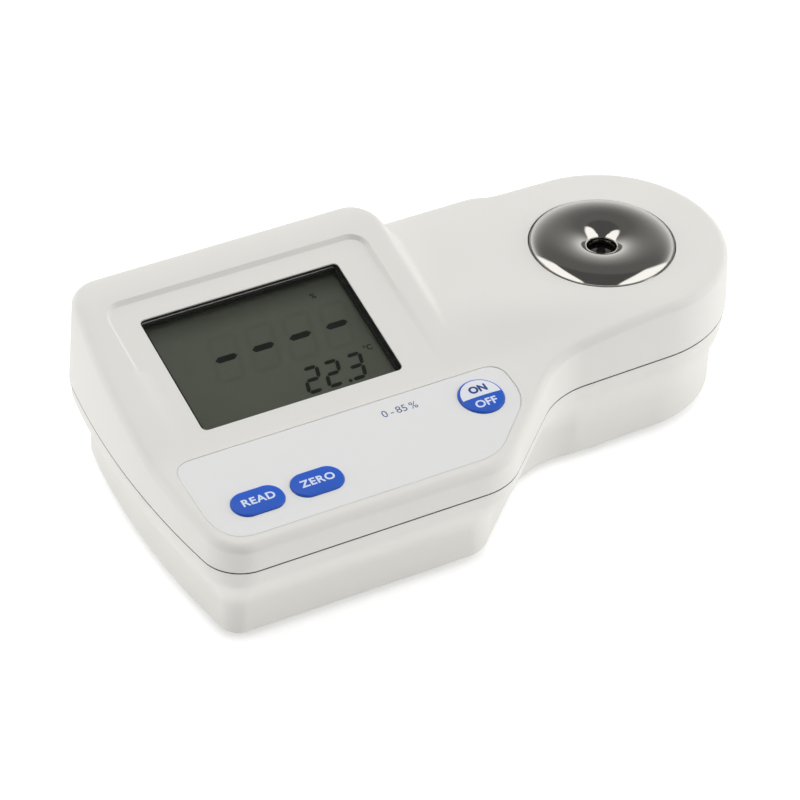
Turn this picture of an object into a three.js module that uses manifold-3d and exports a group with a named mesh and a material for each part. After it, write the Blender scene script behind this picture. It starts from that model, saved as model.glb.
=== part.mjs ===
// Digital refractometer with a sample well at its round end.
// Millimetres, +Z up. The origin is under the middle of the case, on the surface it stands on.
// +X points to the round end with the well, -X to the bowed end, -Y to the user.
// Heights inside the case are measured from the parting plane between the two shells.

import * as THREE from 'three';
import { mergeVertices } from 'three/addons/utils/BufferGeometryUtils.js';
import Module from 'manifold-3d';

const wasm = await Module();
wasm.setup();

// Driving dimensions of the case
const caseLength = 192;
const caseWidth = 102;
const lowerDepth = 26.9;
const deckHeight = 16.9;
const hoodHeight = 27.4;
const footProud = 1.6;
const wall = 3;
const gap = 0.3;
const overrun = 6;

// Plan outline of the case at the parting plane
const leftBow = 5;
const leftPlaceShares = { back: 0.55, middle: 0.33, front: -0.62 };
const caseCornerRadius = 11.5;
const frontShare = 0.4654;
const shoulderShare = 0.1586;
const shoulderCornerRadius = 18;
const neckRadius = 25;
const noseRadiusShare = 0.3455;
const noseOffsetShare = 0.1316;
const noseTaperShare = 0.023;
const backStepLength = 8;
const backStepShare = 0.2083;

// Top of the upper housing
const wallDraftShare = 0.055;
const edgeRadius = 2.6;
const creaseShare = 0.1373;
const creaseHeight = 12.3;
const keypadSlopeShare = 0.115;
const displaySlopeShare = 0.265;
const panelSlopeShare = 0.245;
const rampSlopeShare = 0.12;
const rampStartShare = 0.052;
const hoodRightShare = 0.0099;
const hoodCornerRadius = 10.5;
const hoodLeanShare = 0.62;
const hoodOverlap = 8;

// Outside of the lower housing, from the parting plane down
const lipInset = 0.35;
const lipGap = 0.4;
const skirtHeight = 5;
const skirtInset = 0.6;
const shoulderHeight = 10.5;
const bottomRadius = 1.5;
const taperLeft = 5.6;
const taperFront = 6.3;
const taperShoulder = 7.3;
const taperSide = 2.9;
const taperNose = 3.5;
const taperBack = 5;
const shoulderMiddleShare = 0.45;
const shoulderFootShare = 0.93;

// Seal between the shells
const sealWidth = 1.1;
const sealHeight = 1.6;
const lipWidth = 1.3;

// Display
const windowShares = { x: 0.2422, y: 0.1098 };
const windowSize = { width: 60.3, depth: 40.6, corner: 1.6 };
const windowThickness = 0.8;
const windowSunk = 0.3;
const gasketThickness = 0.6;
const gasketBorder = 0.7;
const panelInset = { left: 11.2, right: 6.9, back: 13 };
const panelCorner = 5;
const frameBorder = 2.5;
const frameWall = 0.9;
const frameFlange = 0.6;
const frameBottom = 8.2;
const glassThickness = 2.4;
const stripSize = { margin: 3.45, width: 1.8, inset: 1.2 };
const boardThickness = 1.6;
const boardSize = { width: 79, depth: 49, corner: 1.5 };
const boardBoss = { x: 36.2, y: 16, radius: 3 };
const chipSize = { width: 14, depth: 14, height: 1.6 };

// Keypad
const keypadShares = { x: 0.2135, y: 0.3039 };
const overlayThickness = 0.5;
const overlayCorner = 6;
const overlayInset = {
  left: 6.1, cut: 11, front: 4.4, notch: 11, back: 1.8, right: 7.1, turn: 20.5, tip: 1.3,
};
const keyRise = 0.9;
const keyCrown = 0.33;
const keyFlange = { border: 1, thickness: 1 };
const keyPlunger = { radius: 1.6, length: 0.6 };
const keyTravel = 0.6;
const longKey = { length: 15, width: 8.6 };
const roundKeyRadius = 6.4;
const readKeyInset = { left: 21.4, front: 14.8 };
const keySpacing = 17.4;
const powerKeyInset = { right: 3.8, front: 25.4 };
const domeRadius = 3.6;
const domeHeight = 0.8;
const domeWall = 0.25;
const keypadBoardThickness = 1.2;
const keypadBoardInset = { left: 16.5, front: 9, back: 5.5, right: 4.9, tip: 3.1, turn: 18.8 };
const keypadScrewInset = { left: 30, right: 25.9, back: 11 };

// Sample well and prism
const wellShift = 1.56;
const wellRadius = 20.67;
const wellRimDrop = 0.2;
const wellCrownRadius = 13.5;
const wellCrownRise = 2.5;
const wellHoleRadius = 3.9;
const wellHoleDrop = 0.7;
const wellFlange = 1.5;
const wellSpigotRadius = 15.7;
const wellSpigotBottom = 11.5;
const wellPocketRadius = 9.3;
const wellFloor = 1.5;
const wellBossRadius = 24;
const wellBossBottom = 10.9;
const oRingRadius = 18.6;
const oRingSection = 0.55;
const prismSealThickness = 0.6;
const prismSize = { width: 12.4, foot: 6, height: 8, straight: 3.4 };
const sensorProbe = { radius: 1.2, length: 5.1, at: 12.5, depth: 3.4 };

// Optical block under the well, with its places measured from the axis of the well
const opticsLeft = 23;
const opticsRight = 22.5;
const opticsHalfWidth = 9;
const opticsBottom = -6;
const opticsCoverThickness = 1.6;
const opticsScrewAt = { u: 18.8, v: 6.5 };
const lightHalfWidth = 4.5;
const lampAxis = -0.5;
const lampRadius = 2.5;
const lampLength = 7.4;
const lampFlange = { radius: 2.9, thickness: 1 };
const lampBoard = { width: 14, height: 12, thickness: 1.3 };
const lampBoreLength = 7;
const lensSize = { radius: 4.2, edge: 1.2, bulge: 0.6, at: 12.4 };
const chamberTop = 4;
const mirrorSize = { side: 8.4, thickness: 1, u: -5 };
const imageSensor = { width: 8, height: 6, thickness: 1.7, z: -1 };
const sensorBoardHeight = 15;
const sensorBoardThickness = 1.2;

// Battery and its round cover
const batteryPotShare = 0.2396;
const potSize = { radius: 32.2, wall: 2.2, ceiling: 2 };
const batteryBore = 30;
const batteryLip = 4;
const batterySize = { length: 48.5, width: 26.5, height: 17.5, corner: 2.5 };
const batteryShift = 2;
const terminal = { radius: 3, length: 2.5, spacing: 12.7 };
const snapSize = { thickness: 4, width: 24, height: 12 };
const leadRadius = 0.8;
const leadSpacing = 5;
const coverFlange = { radius: 33.2, thickness: 1 };
const coverPlate = 2.5;
const coverClearance = 0.4;
const coverRingWall = 2;
const lugSize = { reach: 1.9, width: 8, height: 1.4 };
const lugCount = 3;
const lugTurn = Math.PI / 4;
const coverGroove = { depth: 1.3, height: 1.6, at: 1.8 };
const coverRingSection = 0.5;
const coinSlot = { length: 17, width: 2.4, depth: 1.3, dish: 11 };

// Feet, screws and bosses
const footRadius = 5;
const footSunk = 1;
const footInset = { left: 15.5, front: 14, backLeft: 26, back: 12.5, side: 9.5, sideBack: 10.7, nose: 19 };
const caseScrewInset = { left: 12, frontLeft: 25, backLeft: 14, back: 9.4, front: 15, right: 13.9, nose: 7.8 };
const caseBossRadius = 3.4;
const caseScrew = { shank: 1.3, head: 2.4, headHeight: 2.2, length: 20, sunk: 9 };
const smallScrew = { shank: 1.2, head: 2.4, headHeight: 1.8 };
const pilotDepth = 4;
const headCrownShare = 0.7;

// Flat cables
const ribbonThickness = 0.5;
const sensorRibbonWidth = 8;
const keypadRibbonWidth = 12;
const ribbonLevel = -9.5;

// How finely round things are divided
const roundSides = 36;
const smallSides = 10;
const leadSides = 4;
const stadiumSteps = 9;
const cornerSteps = 4;
const edgeSteps = 2;

const sealTop = sealHeight / 2;
const partingHeight = footProud + lowerDepth;
const halfLength = caseLength / 2;
const halfWidth = caseWidth / 2;

// Places that follow the size of the case
const frontLength = caseLength * frontShare;
const shoulderRun = caseLength * shoulderShare;
const noseRadius = caseWidth * noseRadiusShare;
const noseCentre = { x: halfLength - noseRadius, y: caseWidth * noseOffsetShare };
const backStepAt = caseLength * backStepShare;
const creaseOffset = caseWidth * creaseShare;
const rampStart = caseLength * rampStartShare;
const hoodRight = caseLength * hoodRightShare;
const hoodFront = creaseOffset + hoodOverlap;
const windowCentre = { x: -caseLength * windowShares.x, y: caseWidth * windowShares.y };
const panelLeft = halfLength - panelInset.left;
const panelRight = panelInset.right - hoodRight;
const panelBack = halfWidth - panelInset.back;
const keypadCentre = { x: -caseLength * keypadShares.x, y: -caseWidth * keypadShares.y };
const frontRight = frontLength - halfLength;
const readKeyAt = { x: readKeyInset.left - halfLength, y: readKeyInset.front - halfWidth };
const zeroKeyAt = { x: readKeyAt.x + keySpacing, y: readKeyAt.y };
const powerKeyAt = { x: hoodRight - powerKeyInset.right, y: powerKeyInset.front - halfWidth };
const keypadScrewPlaces = [
  { x: keypadScrewInset.left - halfLength, y: -creaseOffset - keypadScrewInset.back },
  { x: hoodRight - keypadScrewInset.right, y: -creaseOffset - keypadScrewInset.back },
];
const wellAt = { x: noseCentre.x - wellShift, y: noseCentre.y };
const batteryPot = { x: -caseLength * batteryPotShare, ...potSize };
const footPlaces = {
  front_left: [footInset.left - halfLength, footInset.front - halfWidth],
  back_left: [footInset.backLeft - halfLength, halfWidth - footInset.back],
  front_right: [noseCentre.x - footInset.nose, noseCentre.y - noseRadius + footInset.side],
  back_right: [noseCentre.x - footInset.nose, noseCentre.y + noseRadius - footInset.sideBack],
};
const caseScrewPlaces = [
  [caseScrewInset.left - halfLength, caseScrewInset.frontLeft - halfWidth],
  [caseScrewInset.backLeft - halfLength, halfWidth - caseScrewInset.back],
  [hoodRight - caseScrewInset.right, caseScrewInset.front - halfWidth],
  [hoodRight - caseScrewInset.back, halfWidth - caseScrewInset.back],
  [halfLength - caseScrewInset.nose, noseCentre.y],
];

// Solids

function toSolid(geometry) {
  const bare = new THREE.BufferGeometry();
  bare.setAttribute('position', geometry.getAttribute('position').clone());
  if (geometry.index) bare.setIndex(geometry.index.clone());
  const merged = mergeVertices(bare, 1e-4);
  return new wasm.Manifold(new wasm.Mesh({
    numProp: 3,
    vertProperties: new Float32Array(merged.getAttribute('position').array),
    triVerts: new Uint32Array(merged.index.array),
  }));
}

function toGeometry(solid) {
  const mesh = solid.getMesh();
  const points = new Float32Array(mesh.numVert * 3);
  for (let i = 0; i < mesh.numVert; i += 1) {
    for (let k = 0; k < 3; k += 1) points[i * 3 + k] = mesh.vertProperties[i * mesh.numProp + k];
  }
  const geometry = new THREE.BufferGeometry();
  geometry.setAttribute('position', new THREE.BufferAttribute(points, 3));
  geometry.setIndex(new THREE.BufferAttribute(new Uint32Array(mesh.triVerts), 1));
  return geometry;
}

const joined = (first, ...rest) => rest.reduce((sum, next) => sum.add(next), first);
const cutBy = (first, ...rest) => rest.reduce((left, next) => left.subtract(next), first);

// A closed mesh from its points and triangles, turned so that its faces point out
function closedMesh(points, triangles) {
  let volume = 0;
  const corners = [new THREE.Vector3(), new THREE.Vector3(), new THREE.Vector3()];
  for (const triangle of triangles) {
    triangle.forEach((index, k) => corners[k].copy(points[index]));
    volume += corners[0].dot(corners[1].clone().cross(corners[2]));
  }
  const index = triangles.flatMap(([a, b, c]) => (volume > 0 ? [a, b, c] : [a, c, b]));
  const geometry = new THREE.BufferGeometry();
  geometry.setAttribute('position', new THREE.Float32BufferAttribute(points.flatMap((p) => p.toArray()), 3));
  geometry.setIndex(index);
  return geometry;
}

function sideTriangles(ringCount, pointCount, closed) {
  const triangles = [];
  const last = closed ? ringCount : ringCount - 1;
  for (let j = 0; j < last; j += 1) {
    for (let i = 0; i < pointCount; i += 1) {
      const next = (i + 1) % pointCount;
      const above = ((j + 1) % ringCount) * pointCount;
      const here = j * pointCount;
      triangles.push([here + i, here + next, above + next], [here + i, above + next, above + i]);
    }
  }
  return triangles;
}

// A solid through a stack of rings, closed by a flat lid at each end
function loft(rings) {
  const count = rings[0].length;
  const triangles = sideTriangles(rings.length, count, false);
  const lid = (ring) => THREE.ShapeUtils.triangulateShape(ring.map((p) => new THREE.Vector2(p.x, p.y)), []);
  const top = (rings.length - 1) * count;
  for (const [a, b, c] of lid(rings[0])) triangles.push([a, c, b]);
  for (const [a, b, c] of lid(rings[rings.length - 1])) triangles.push([top + a, top + b, top + c]);
  return toSolid(closedMesh(rings.flat(), triangles));
}

// A solid swept round a closed path, from one cross-section at each station
function ringLoft(sections) {
  return toSolid(closedMesh(sections.flat(), sideTriangles(sections.length, sections[0].length, true)));
}

function extruded(shape, low, high, steps = cornerSteps) {
  const geometry = new THREE.ExtrudeGeometry(shape, {
    depth: high - low, bevelEnabled: false, curveSegments: steps,
  });
  return geometry.translate(0, 0, low);
}

function box(x0, x1, y0, y1, z0, z1) {
  const geometry = new THREE.BoxGeometry(x1 - x0, y1 - y0, z1 - z0);
  return geometry.translate((x0 + x1) / 2, (y0 + y1) / 2, (z0 + z1) / 2);
}

function rod(radius, low, high, sides = smallSides) {
  const geometry = new THREE.CylinderGeometry(radius, radius, high - low, sides);
  return geometry.rotateX(Math.PI / 2).translate(0, 0, (low + high) / 2);
}

// A closed section of radius and height pairs, turned about the vertical
function turned(profile, sides = roundSides) {
  const doubleArea = profile.reduce((sum, [r, z], i) => {
    const [nextR, nextZ] = profile[(i + 1) % profile.length];
    return sum + r * nextZ - nextR * z;
  }, 0);
  const points = profile.map(([r, z]) => new THREE.Vector2(r, z));
  if (doubleArea < 0) points.reverse();
  points.push(points[0].clone());
  return new THREE.LatheGeometry(points, sides).rotateX(Math.PI / 2);
}

function rectangle(width, depth, corner) {
  const shape = new THREE.Shape();
  const x = width / 2;
  const y = depth / 2;
  shape.moveTo(corner - x, -y);
  shape.absarc(x - corner, corner - y, corner, -Math.PI / 2, 0);
  shape.absarc(x - corner, y - corner, corner, 0, Math.PI / 2);
  shape.absarc(corner - x, y - corner, corner, Math.PI / 2, Math.PI);
  shape.absarc(corner - x, corner - y, corner, Math.PI, Math.PI * 1.5);
  return shape;
}

// Two half circles with straight sides between them, in as many steps as a round thing has
function stadium(length, radius) {
  const reach = length / 2 - radius;
  const steps = stadiumSteps;
  const half = (x, start) => Array.from({ length: steps + 1 }, (_, i) => {
    const angle = start + Math.PI * i / steps;
    return [x + radius * Math.cos(angle), radius * Math.sin(angle)];
  });
  const round = [...half(reach, -Math.PI / 2), ...half(-reach, Math.PI / 2)];
  return polygon(reach > 0 ? round : round.filter((_, i) => i !== steps && i !== 2 * steps + 1));
}

function polygon(points) {
  return new THREE.Shape(points.map(([x, y]) => new THREE.Vector2(x, y)));
}

// A section drawn in X and Z, given a width along Y
function sideExtruded(points, y0, y1) {
  return extruded(polygon(points), -y1, -y0).rotateX(Math.PI / 2);
}

const moved = (geometry, x, y, z = 0) => geometry.translate(x, y, z);

// Plan outline of the case, counter-clockwise, with the inward normal and the taper at each point

function station(x, y, direction, taper) {
  const length = Math.hypot(direction.x, direction.y);
  return { x, y, nx: -direction.y / length, ny: direction.x / length, taper };
}

function corner(at, before, after, radius, taperBefore, taperAfter) {
  const start = Math.atan2(before.y, before.x);
  let turn = Math.atan2(after.y, after.x) - start;
  if (turn > Math.PI) turn -= Math.PI * 2;
  if (turn < -Math.PI) turn += Math.PI * 2;
  const side = Math.sign(turn);
  const back = radius * Math.tan(Math.abs(turn) / 2);
  const from = { x: at.x - Math.cos(start) * back, y: at.y - Math.sin(start) * back };
  const centre = {
    x: from.x - Math.sin(start) * radius * side,
    y: from.y + Math.cos(start) * radius * side,
  };
  return Array.from({ length: cornerSteps + 1 }, (_, i) => {
    const share = i / cornerSteps;
    const angle = start + turn * share;
    const direction = { x: Math.cos(angle), y: Math.sin(angle) };
    return station(centre.x + direction.y * radius * side, centre.y - direction.x * radius * side,
      direction, taperBefore + (taperAfter - taperBefore) * share);
  });
}

function leftSide() {
  const bowAt = (y) => leftBow * (y / halfWidth) ** 2 - halfLength;
  const slopeAt = (y) => 2 * leftBow * y / halfWidth ** 2;
  let end = halfWidth - caseCornerRadius;
  for (let pass = 0; pass < 4; pass += 1) {
    const lean = Math.sin(Math.atan(slopeAt(end)));
    end = halfWidth - caseCornerRadius * (1 - lean);
  }
  const shares = leftPlaceShares;
  const creaseShareHere = -creaseOffset / end;
  const places = [shares.back, shares.middle, 0, creaseShareHere, shares.front].map((share) => share * end);
  const downwards = (y) => ({ x: -slopeAt(y), y: -1 });
  const arc = (sign, from, to, taperFrom, taperTo) => {
    const y = sign * end;
    const lean = Math.atan(slopeAt(y));
    const centre = {
      x: bowAt(y) + caseCornerRadius * Math.cos(lean),
      y: sign * (halfWidth - caseCornerRadius),
    };
    return Array.from({ length: cornerSteps + 1 }, (_, i) => {
      const share = i / cornerSteps;
      const angle = from(lean) + (to(lean) - from(lean)) * share;
      return station(centre.x + Math.cos(angle) * caseCornerRadius, centre.y + Math.sin(angle) * caseCornerRadius,
        { x: -Math.sin(angle), y: Math.cos(angle) }, taperFrom + (taperTo - taperFrom) * share);
    });
  };
  const back = arc(1, () => Math.PI / 2, (lean) => Math.PI - lean, taperBack, taperLeft);
  const front = arc(-1, (lean) => Math.PI - lean, () => Math.PI * 1.5, taperLeft, taperFront);
  const side = places.map((y) => station(bowAt(y), y, downwards(y), taperLeft));
  return { back, side, front };
}

function between(a, b, count) {
  return Array.from({ length: count }, (_, i) => {
    const share = (i + 1) / (count + 1);
    const mix = (key) => a[key] + (b[key] - a[key]) * share;
    return { x: mix('x'), y: mix('y'), nx: a.nx, ny: a.ny, taper: mix('taper') };
  });
}

function planOutline() {
  const { back, side, front } = leftSide();
  const along = { x: 1, y: 0 };
  const noseLean = Math.atan(noseTaperShare);
  const sideLine = { x: Math.cos(noseLean), y: Math.sin(noseLean) };
  const shoulderFoot = { x: frontLength - halfLength, y: -halfWidth };
  const neckX = shoulderFoot.x + shoulderRun;
  const neck = { x: neckX, y: noseCentre.y - noseRadius + (neckX - noseCentre.x) * noseTaperShare };
  const rise = { x: neck.x - shoulderFoot.x, y: neck.y - shoulderFoot.y };
  const first = corner(shoulderFoot, along, rise, shoulderCornerRadius, taperFront, taperShoulder);
  const second = corner(neck, rise, sideLine, neckRadius, taperShoulder, taperSide);
  const noseSteps = roundSides / 2;
  const nose = Array.from({ length: noseSteps + 1 }, (_, i) => {
    const angle = noseLean - Math.PI / 2 + (Math.PI - 2 * noseLean) * i / noseSteps;
    const direction = { x: -Math.sin(angle), y: Math.cos(angle) };
    const taper = taperSide + (taperNose - taperSide) * Math.max(0, Math.cos(angle));
    return station(noseCentre.x + noseRadius * Math.cos(angle), noseCentre.y + noseRadius * Math.sin(angle),
      direction, taper);
  });
  const stepSpan = (share) => backStepAt + backStepLength * (1 / 2 - share);
  const endBack = noseCentre.y + noseRadius + (noseCentre.x - stepSpan(0)) * noseTaperShare;
  const stepRise = halfWidth - endBack;
  const step = Array.from({ length: cornerSteps + 1 }, (_, i) => {
    const share = i / cornerSteps;
    const slope = Math.PI / 2 * Math.sin(Math.PI * share) * stepRise / backStepLength;
    return station(stepSpan(share), endBack + stepRise * (1 - Math.cos(Math.PI * share)) / 2,
      { x: -1, y: slope }, taperSide + (taperBack - taperSide) * share);
  });
  const backLine = [hoodLow(hoodHeight), (hoodLow(hoodHeight) + hoodRight) / 2, hoodRight,
    hoodRight - hoodCornerRadius].map((x) => station(x, halfWidth, { x: -1, y: 0 }, taperBack));
  return [
    ...side, ...front, ...first, ...between(first[cornerSteps], second[0], 2), ...second,
    ...between(second[cornerSteps], nose[0], 3), ...nose, ...step, ...backLine, ...back,
  ];
}

const insetBy = (s, distance, z) => new THREE.Vector3(s.x + s.nx * distance, s.y + s.ny * distance, z);

// How far right the foot of the hood's slanted side lies where it meets the deck
function hoodLow(top) {
  return hoodRight + hoodLeanShare * (top - deckHeight);
}

// Top surfaces of the upper housing, as heights over the parting plane

const keypadFace = (x, y) => creaseHeight + keypadSlopeShare * (y + creaseOffset);
const displayFace = (x, y) => creaseHeight + displaySlopeShare * (y + creaseOffset);
const panelFace = (x, y) => creaseHeight + panelSlopeShare * (y + creaseOffset);
const ramp = (x) => rampSlopeShare * (x - rampStart);
const deckFace = () => deckHeight;
const hoodFace = () => hoodHeight;

function deckTop(x, y) {
  const slope = Math.max(keypadFace(x, y), displayFace(x, y));
  return Math.min(deckHeight, slope + Math.max(0, ramp(x)));
}

const hoodTop = (x, y) => Math.min(hoodHeight, displayFace(x, y));

// Everything below a sloping face, down past the parting plane
function below(face, drop = 0) {
  const x = halfLength + overrun;
  const y = halfWidth + overrun;
  const feet = [[-x, -y], [x, -y], [x, y], [-x, y]];
  const low = feet.map(([px, py]) => new THREE.Vector3(px, py, -caseWidth));
  const high = feet.map(([px, py]) => new THREE.Vector3(px, py, face(px, py) - drop));
  return loft([low, high]);
}

const underDeck = (drop) => joined(
  below(keypadFace, drop), below(displayFace, drop),
  below((x, y) => keypadFace(x, y) + ramp(x), drop), below((x, y) => displayFace(x, y) + ramp(x), drop),
).intersect(below(deckFace, drop));

const outline = planOutline();
const outlineAt = (inset, z) => outline.map((s) => insetBy(s, inset, z));
const upperRing = (inset, z) => outlineAt(inset + wallDraftShare * z, z);

// Outline of the hood: the case's own left end and back, and a slanted side on the right
function hoodStations() {
  const { back, side } = leftSide();
  const upright = (s) => ({ ...s, lean: wallDraftShare, top: hoodTop(s.x, s.y), onWall: true });
  const right = [-hoodFront, -creaseOffset, 0, hoodHeight / 2].map((y) => (
    { x: hoodRight, y, nx: -1, ny: 0, lean: hoodLeanShare, top: hoodTop(hoodRight, y), onWall: false }));
  const backEdge = halfWidth - wallDraftShare * hoodHeight;
  const centre = { x: hoodRight - hoodCornerRadius, y: backEdge - hoodCornerRadius };
  const turn = Array.from({ length: cornerSteps + 1 }, (_, i) => {
    const share = i / cornerSteps;
    const angle = Math.PI / 2 * share;
    const x = centre.x + hoodCornerRadius * Math.cos(angle);
    const y = centre.y + hoodCornerRadius * Math.sin(angle);
    return { x, y, nx: -Math.cos(angle), ny: -Math.sin(angle), onWall: false,
      lean: hoodLeanShare + (wallDraftShare - hoodLeanShare) * share, top: hoodTop(x, y) };
  });
  const leftFront = { x: windowCentre.x, y: -hoodFront, nx: 0, ny: 1, lean: 0,
    top: hoodTop(0, -hoodFront), onWall: false };
  const sideAbove = side.filter((s) => s.y > -hoodFront).map(upright);
  const last = sideAbove[sideAbove.length - 1];
  return [leftFront, ...right, ...turn, ...back.map(upright), ...sideAbove,
    { ...last, y: -hoodFront, top: hoodTop(0, -hoodFront) }];
}

const hoodOutline = hoodStations();
function hoodPoint(s, inset, z) {
  const shift = inset + (s.onWall ? s.lean * z : -s.lean * (s.top - z));
  return new THREE.Vector3(s.x + s.nx * shift, s.y + s.ny * shift, z);
}
const hoodRing = (inset, z) => hoodOutline.map((s) => hoodPoint(s, inset, z));

// A cutter that rounds the edge where a wall meets the top
function edgeCutter(stations, pointAt, topAt) {
  return ringLoft(stations.map((s) => {
    const guess = pointAt(s, 0, topAt(s.x, s.y));
    const top = topAt(guess.x, guess.y);
    const section = [pointAt(s, -overrun, top - edgeRadius)];
    for (let i = 0; i <= edgeSteps; i += 1) {
      const angle = Math.PI / 2 * i / edgeSteps;
      const inset = edgeRadius * (1 - Math.cos(angle));
      const inside = pointAt(s, inset, top);
      const level = topAt(inside.x, inside.y) - edgeRadius * (1 - Math.sin(angle));
      const wallHere = pointAt(s, inset, level);
      section.push(wallHere);
    }
    section.push(pointAt(s, edgeRadius, top + overrun), pointAt(s, -overrun, top + overrun));
    return section;
  }));
}

const upperPoint = (s, inset, z) => insetBy(s, inset + wallDraftShare * z, z);

function upperShape() {
  const lift = hoodHeight + overrun;
  const plan = loft([upperRing(0, lipGap / 2), upperRing(0, lift)]);
  const deck = plan.intersect(underDeck(0));
  const hood = loft([hoodRing(0, lipGap / 2), hoodRing(0, lift)]).intersect(plan)
    .intersect(below(displayFace)).intersect(below(hoodFace));
  return joined(
    deck.subtract(edgeCutter(outline, upperPoint, deckTop)),
    hood.subtract(edgeCutter(hoodOutline, hoodPoint, hoodTop)),
  );
}

// The upper housing's room, at some depth under its skin
function upperInside(depth) {
  const lift = hoodHeight;
  const plan = loft([upperRing(depth, -overrun), upperRing(depth, lift)]);
  const deck = plan.intersect(underDeck(depth));
  const hood = loft([hoodRing(depth, -overrun), hoodRing(depth, lift)]).intersect(plan)
    .intersect(below(panelFace, depth)).intersect(below(hoodFace, depth));
  return deck.add(hood);
}

// Frames of the two tilted faces

function tiltedFrame(at, face, slopeShare) {
  const frame = new THREE.Matrix4().makeRotationX(Math.atan(slopeShare));
  return frame.setPosition(at.x, at.y, face(at.x, at.y));
}
const displayFrame = tiltedFrame(windowCentre, panelFace, panelSlopeShare);
const keypadFrame = tiltedFrame(keypadCentre, keypadFace, keypadSlopeShare);
const roofOver = (slopeShare) => wall * Math.cos(Math.atan(slopeShare));
const panelRoof = roofOver(panelSlopeShare);
const keypadRoof = roofOver(keypadSlopeShare);

// A point of the plan, in the keypad's own frame
function onKeypad(at) {
  const stretch = 1 / Math.cos(Math.atan(keypadSlopeShare));
  return { x: at.x - keypadCentre.x, y: (at.y - keypadCentre.y) * stretch };
}
const onDisplayY = (y) => (y - windowCentre.y) / Math.cos(Math.atan(panelSlopeShare));

const inDisplay = (geometry) => toSolid(geometry.applyMatrix4(displayFrame));
const inKeypad = (geometry) => toSolid(geometry.applyMatrix4(keypadFrame));

// Levels of the display stack, measured down from the recessed panel
const windowTop = -windowSunk;
const windowBottom = windowTop - windowThickness;
const gasketTop = windowBottom - gap;
const gasketBottom = gasketTop - gasketThickness;
const frameTop = gasketBottom - gap;
const glassTop = frameTop - frameFlange - gap;
const glassBottom = glassTop - glassThickness;
const boardTop = -frameBottom - gap;
const boardBottom = boardTop - boardThickness;
const frameOuter = { width: windowSize.width + 2 * frameBorder, depth: windowSize.depth + 2 * frameBorder };
const glassSize = {
  width: frameOuter.width - 2 * (frameWall + gap), depth: frameOuter.depth - 2 * (frameWall + gap),
};
const boardCorners = [[-1, -1], [1, -1], [1, 1], [-1, 1]]
  .map(([i, j]) => [i * boardBoss.x, j * boardBoss.y]);

// Levels of the keypad stack, measured down from the keypad face
const keypadRecess = overlayThickness + gap;
const flangeTop = -keypadRoof - gap;
const flangeBottom = flangeTop - keyFlange.thickness;
const plungerBottom = flangeBottom - keyPlunger.length;
const domeTop = plungerBottom - gap;
const domeBottom = domeTop - domeHeight;
const keypadBoardTop = domeBottom - gap;
const keypadBoardBottom = keypadBoardTop - keypadBoardThickness;

const longOutline = (grow) => stadium(longKey.length + 2 * grow, longKey.width / 2 + grow);
const roundOutline = (grow) => stadium(2 * (roundKeyRadius + grow), roundKeyRadius + grow);
const keys = {
  read: { at: readKeyAt, shape: longOutline },
  zero: { at: zeroKeyAt, shape: longOutline },
  on_off: { at: powerKeyAt, shape: roundOutline },
};

function overlayShape(grow) {
  const edge = overlayInset;
  const left = edge.left - halfLength - grow;
  const front = edge.front - halfWidth - grow;
  const right = hoodRight + edge.right + grow;
  const back = grow - creaseOffset - edge.back;
  const places = [
    [left, back], [left, edge.notch - halfWidth], [edge.cut - halfLength, front],
    [frontRight - edge.tip + grow / 2, front], [right, edge.turn - halfWidth - grow / 2], [right, back],
  ].map(([x, y]) => onKeypad({ x, y }));
  const shape = new THREE.Shape();
  places.forEach((place, i) => {
    const before = places[(i + places.length - 1) % places.length];
    const after = places[(i + 1) % places.length];
    const pull = (other) => {
      const reach = Math.hypot(other.x - place.x, other.y - place.y);
      const share = Math.min(overlayCorner / reach, 1 / 2);
      return [place.x + (other.x - place.x) * share, place.y + (other.y - place.y) * share];
    };
    if (i === 0) shape.moveTo(...pull(before));
    else shape.lineTo(...pull(before));
    shape.quadraticCurveTo(place.x, place.y, ...pull(after));
  });
  return shape;
}

function keyPlace(key) {
  return onKeypad(key.at);
}

// Upper housing

function caseBosses(low, high, radius) {
  return caseScrewPlaces.map(([x, y]) => toSolid(moved(rod(radius, low, high), x, y)));
}

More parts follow.
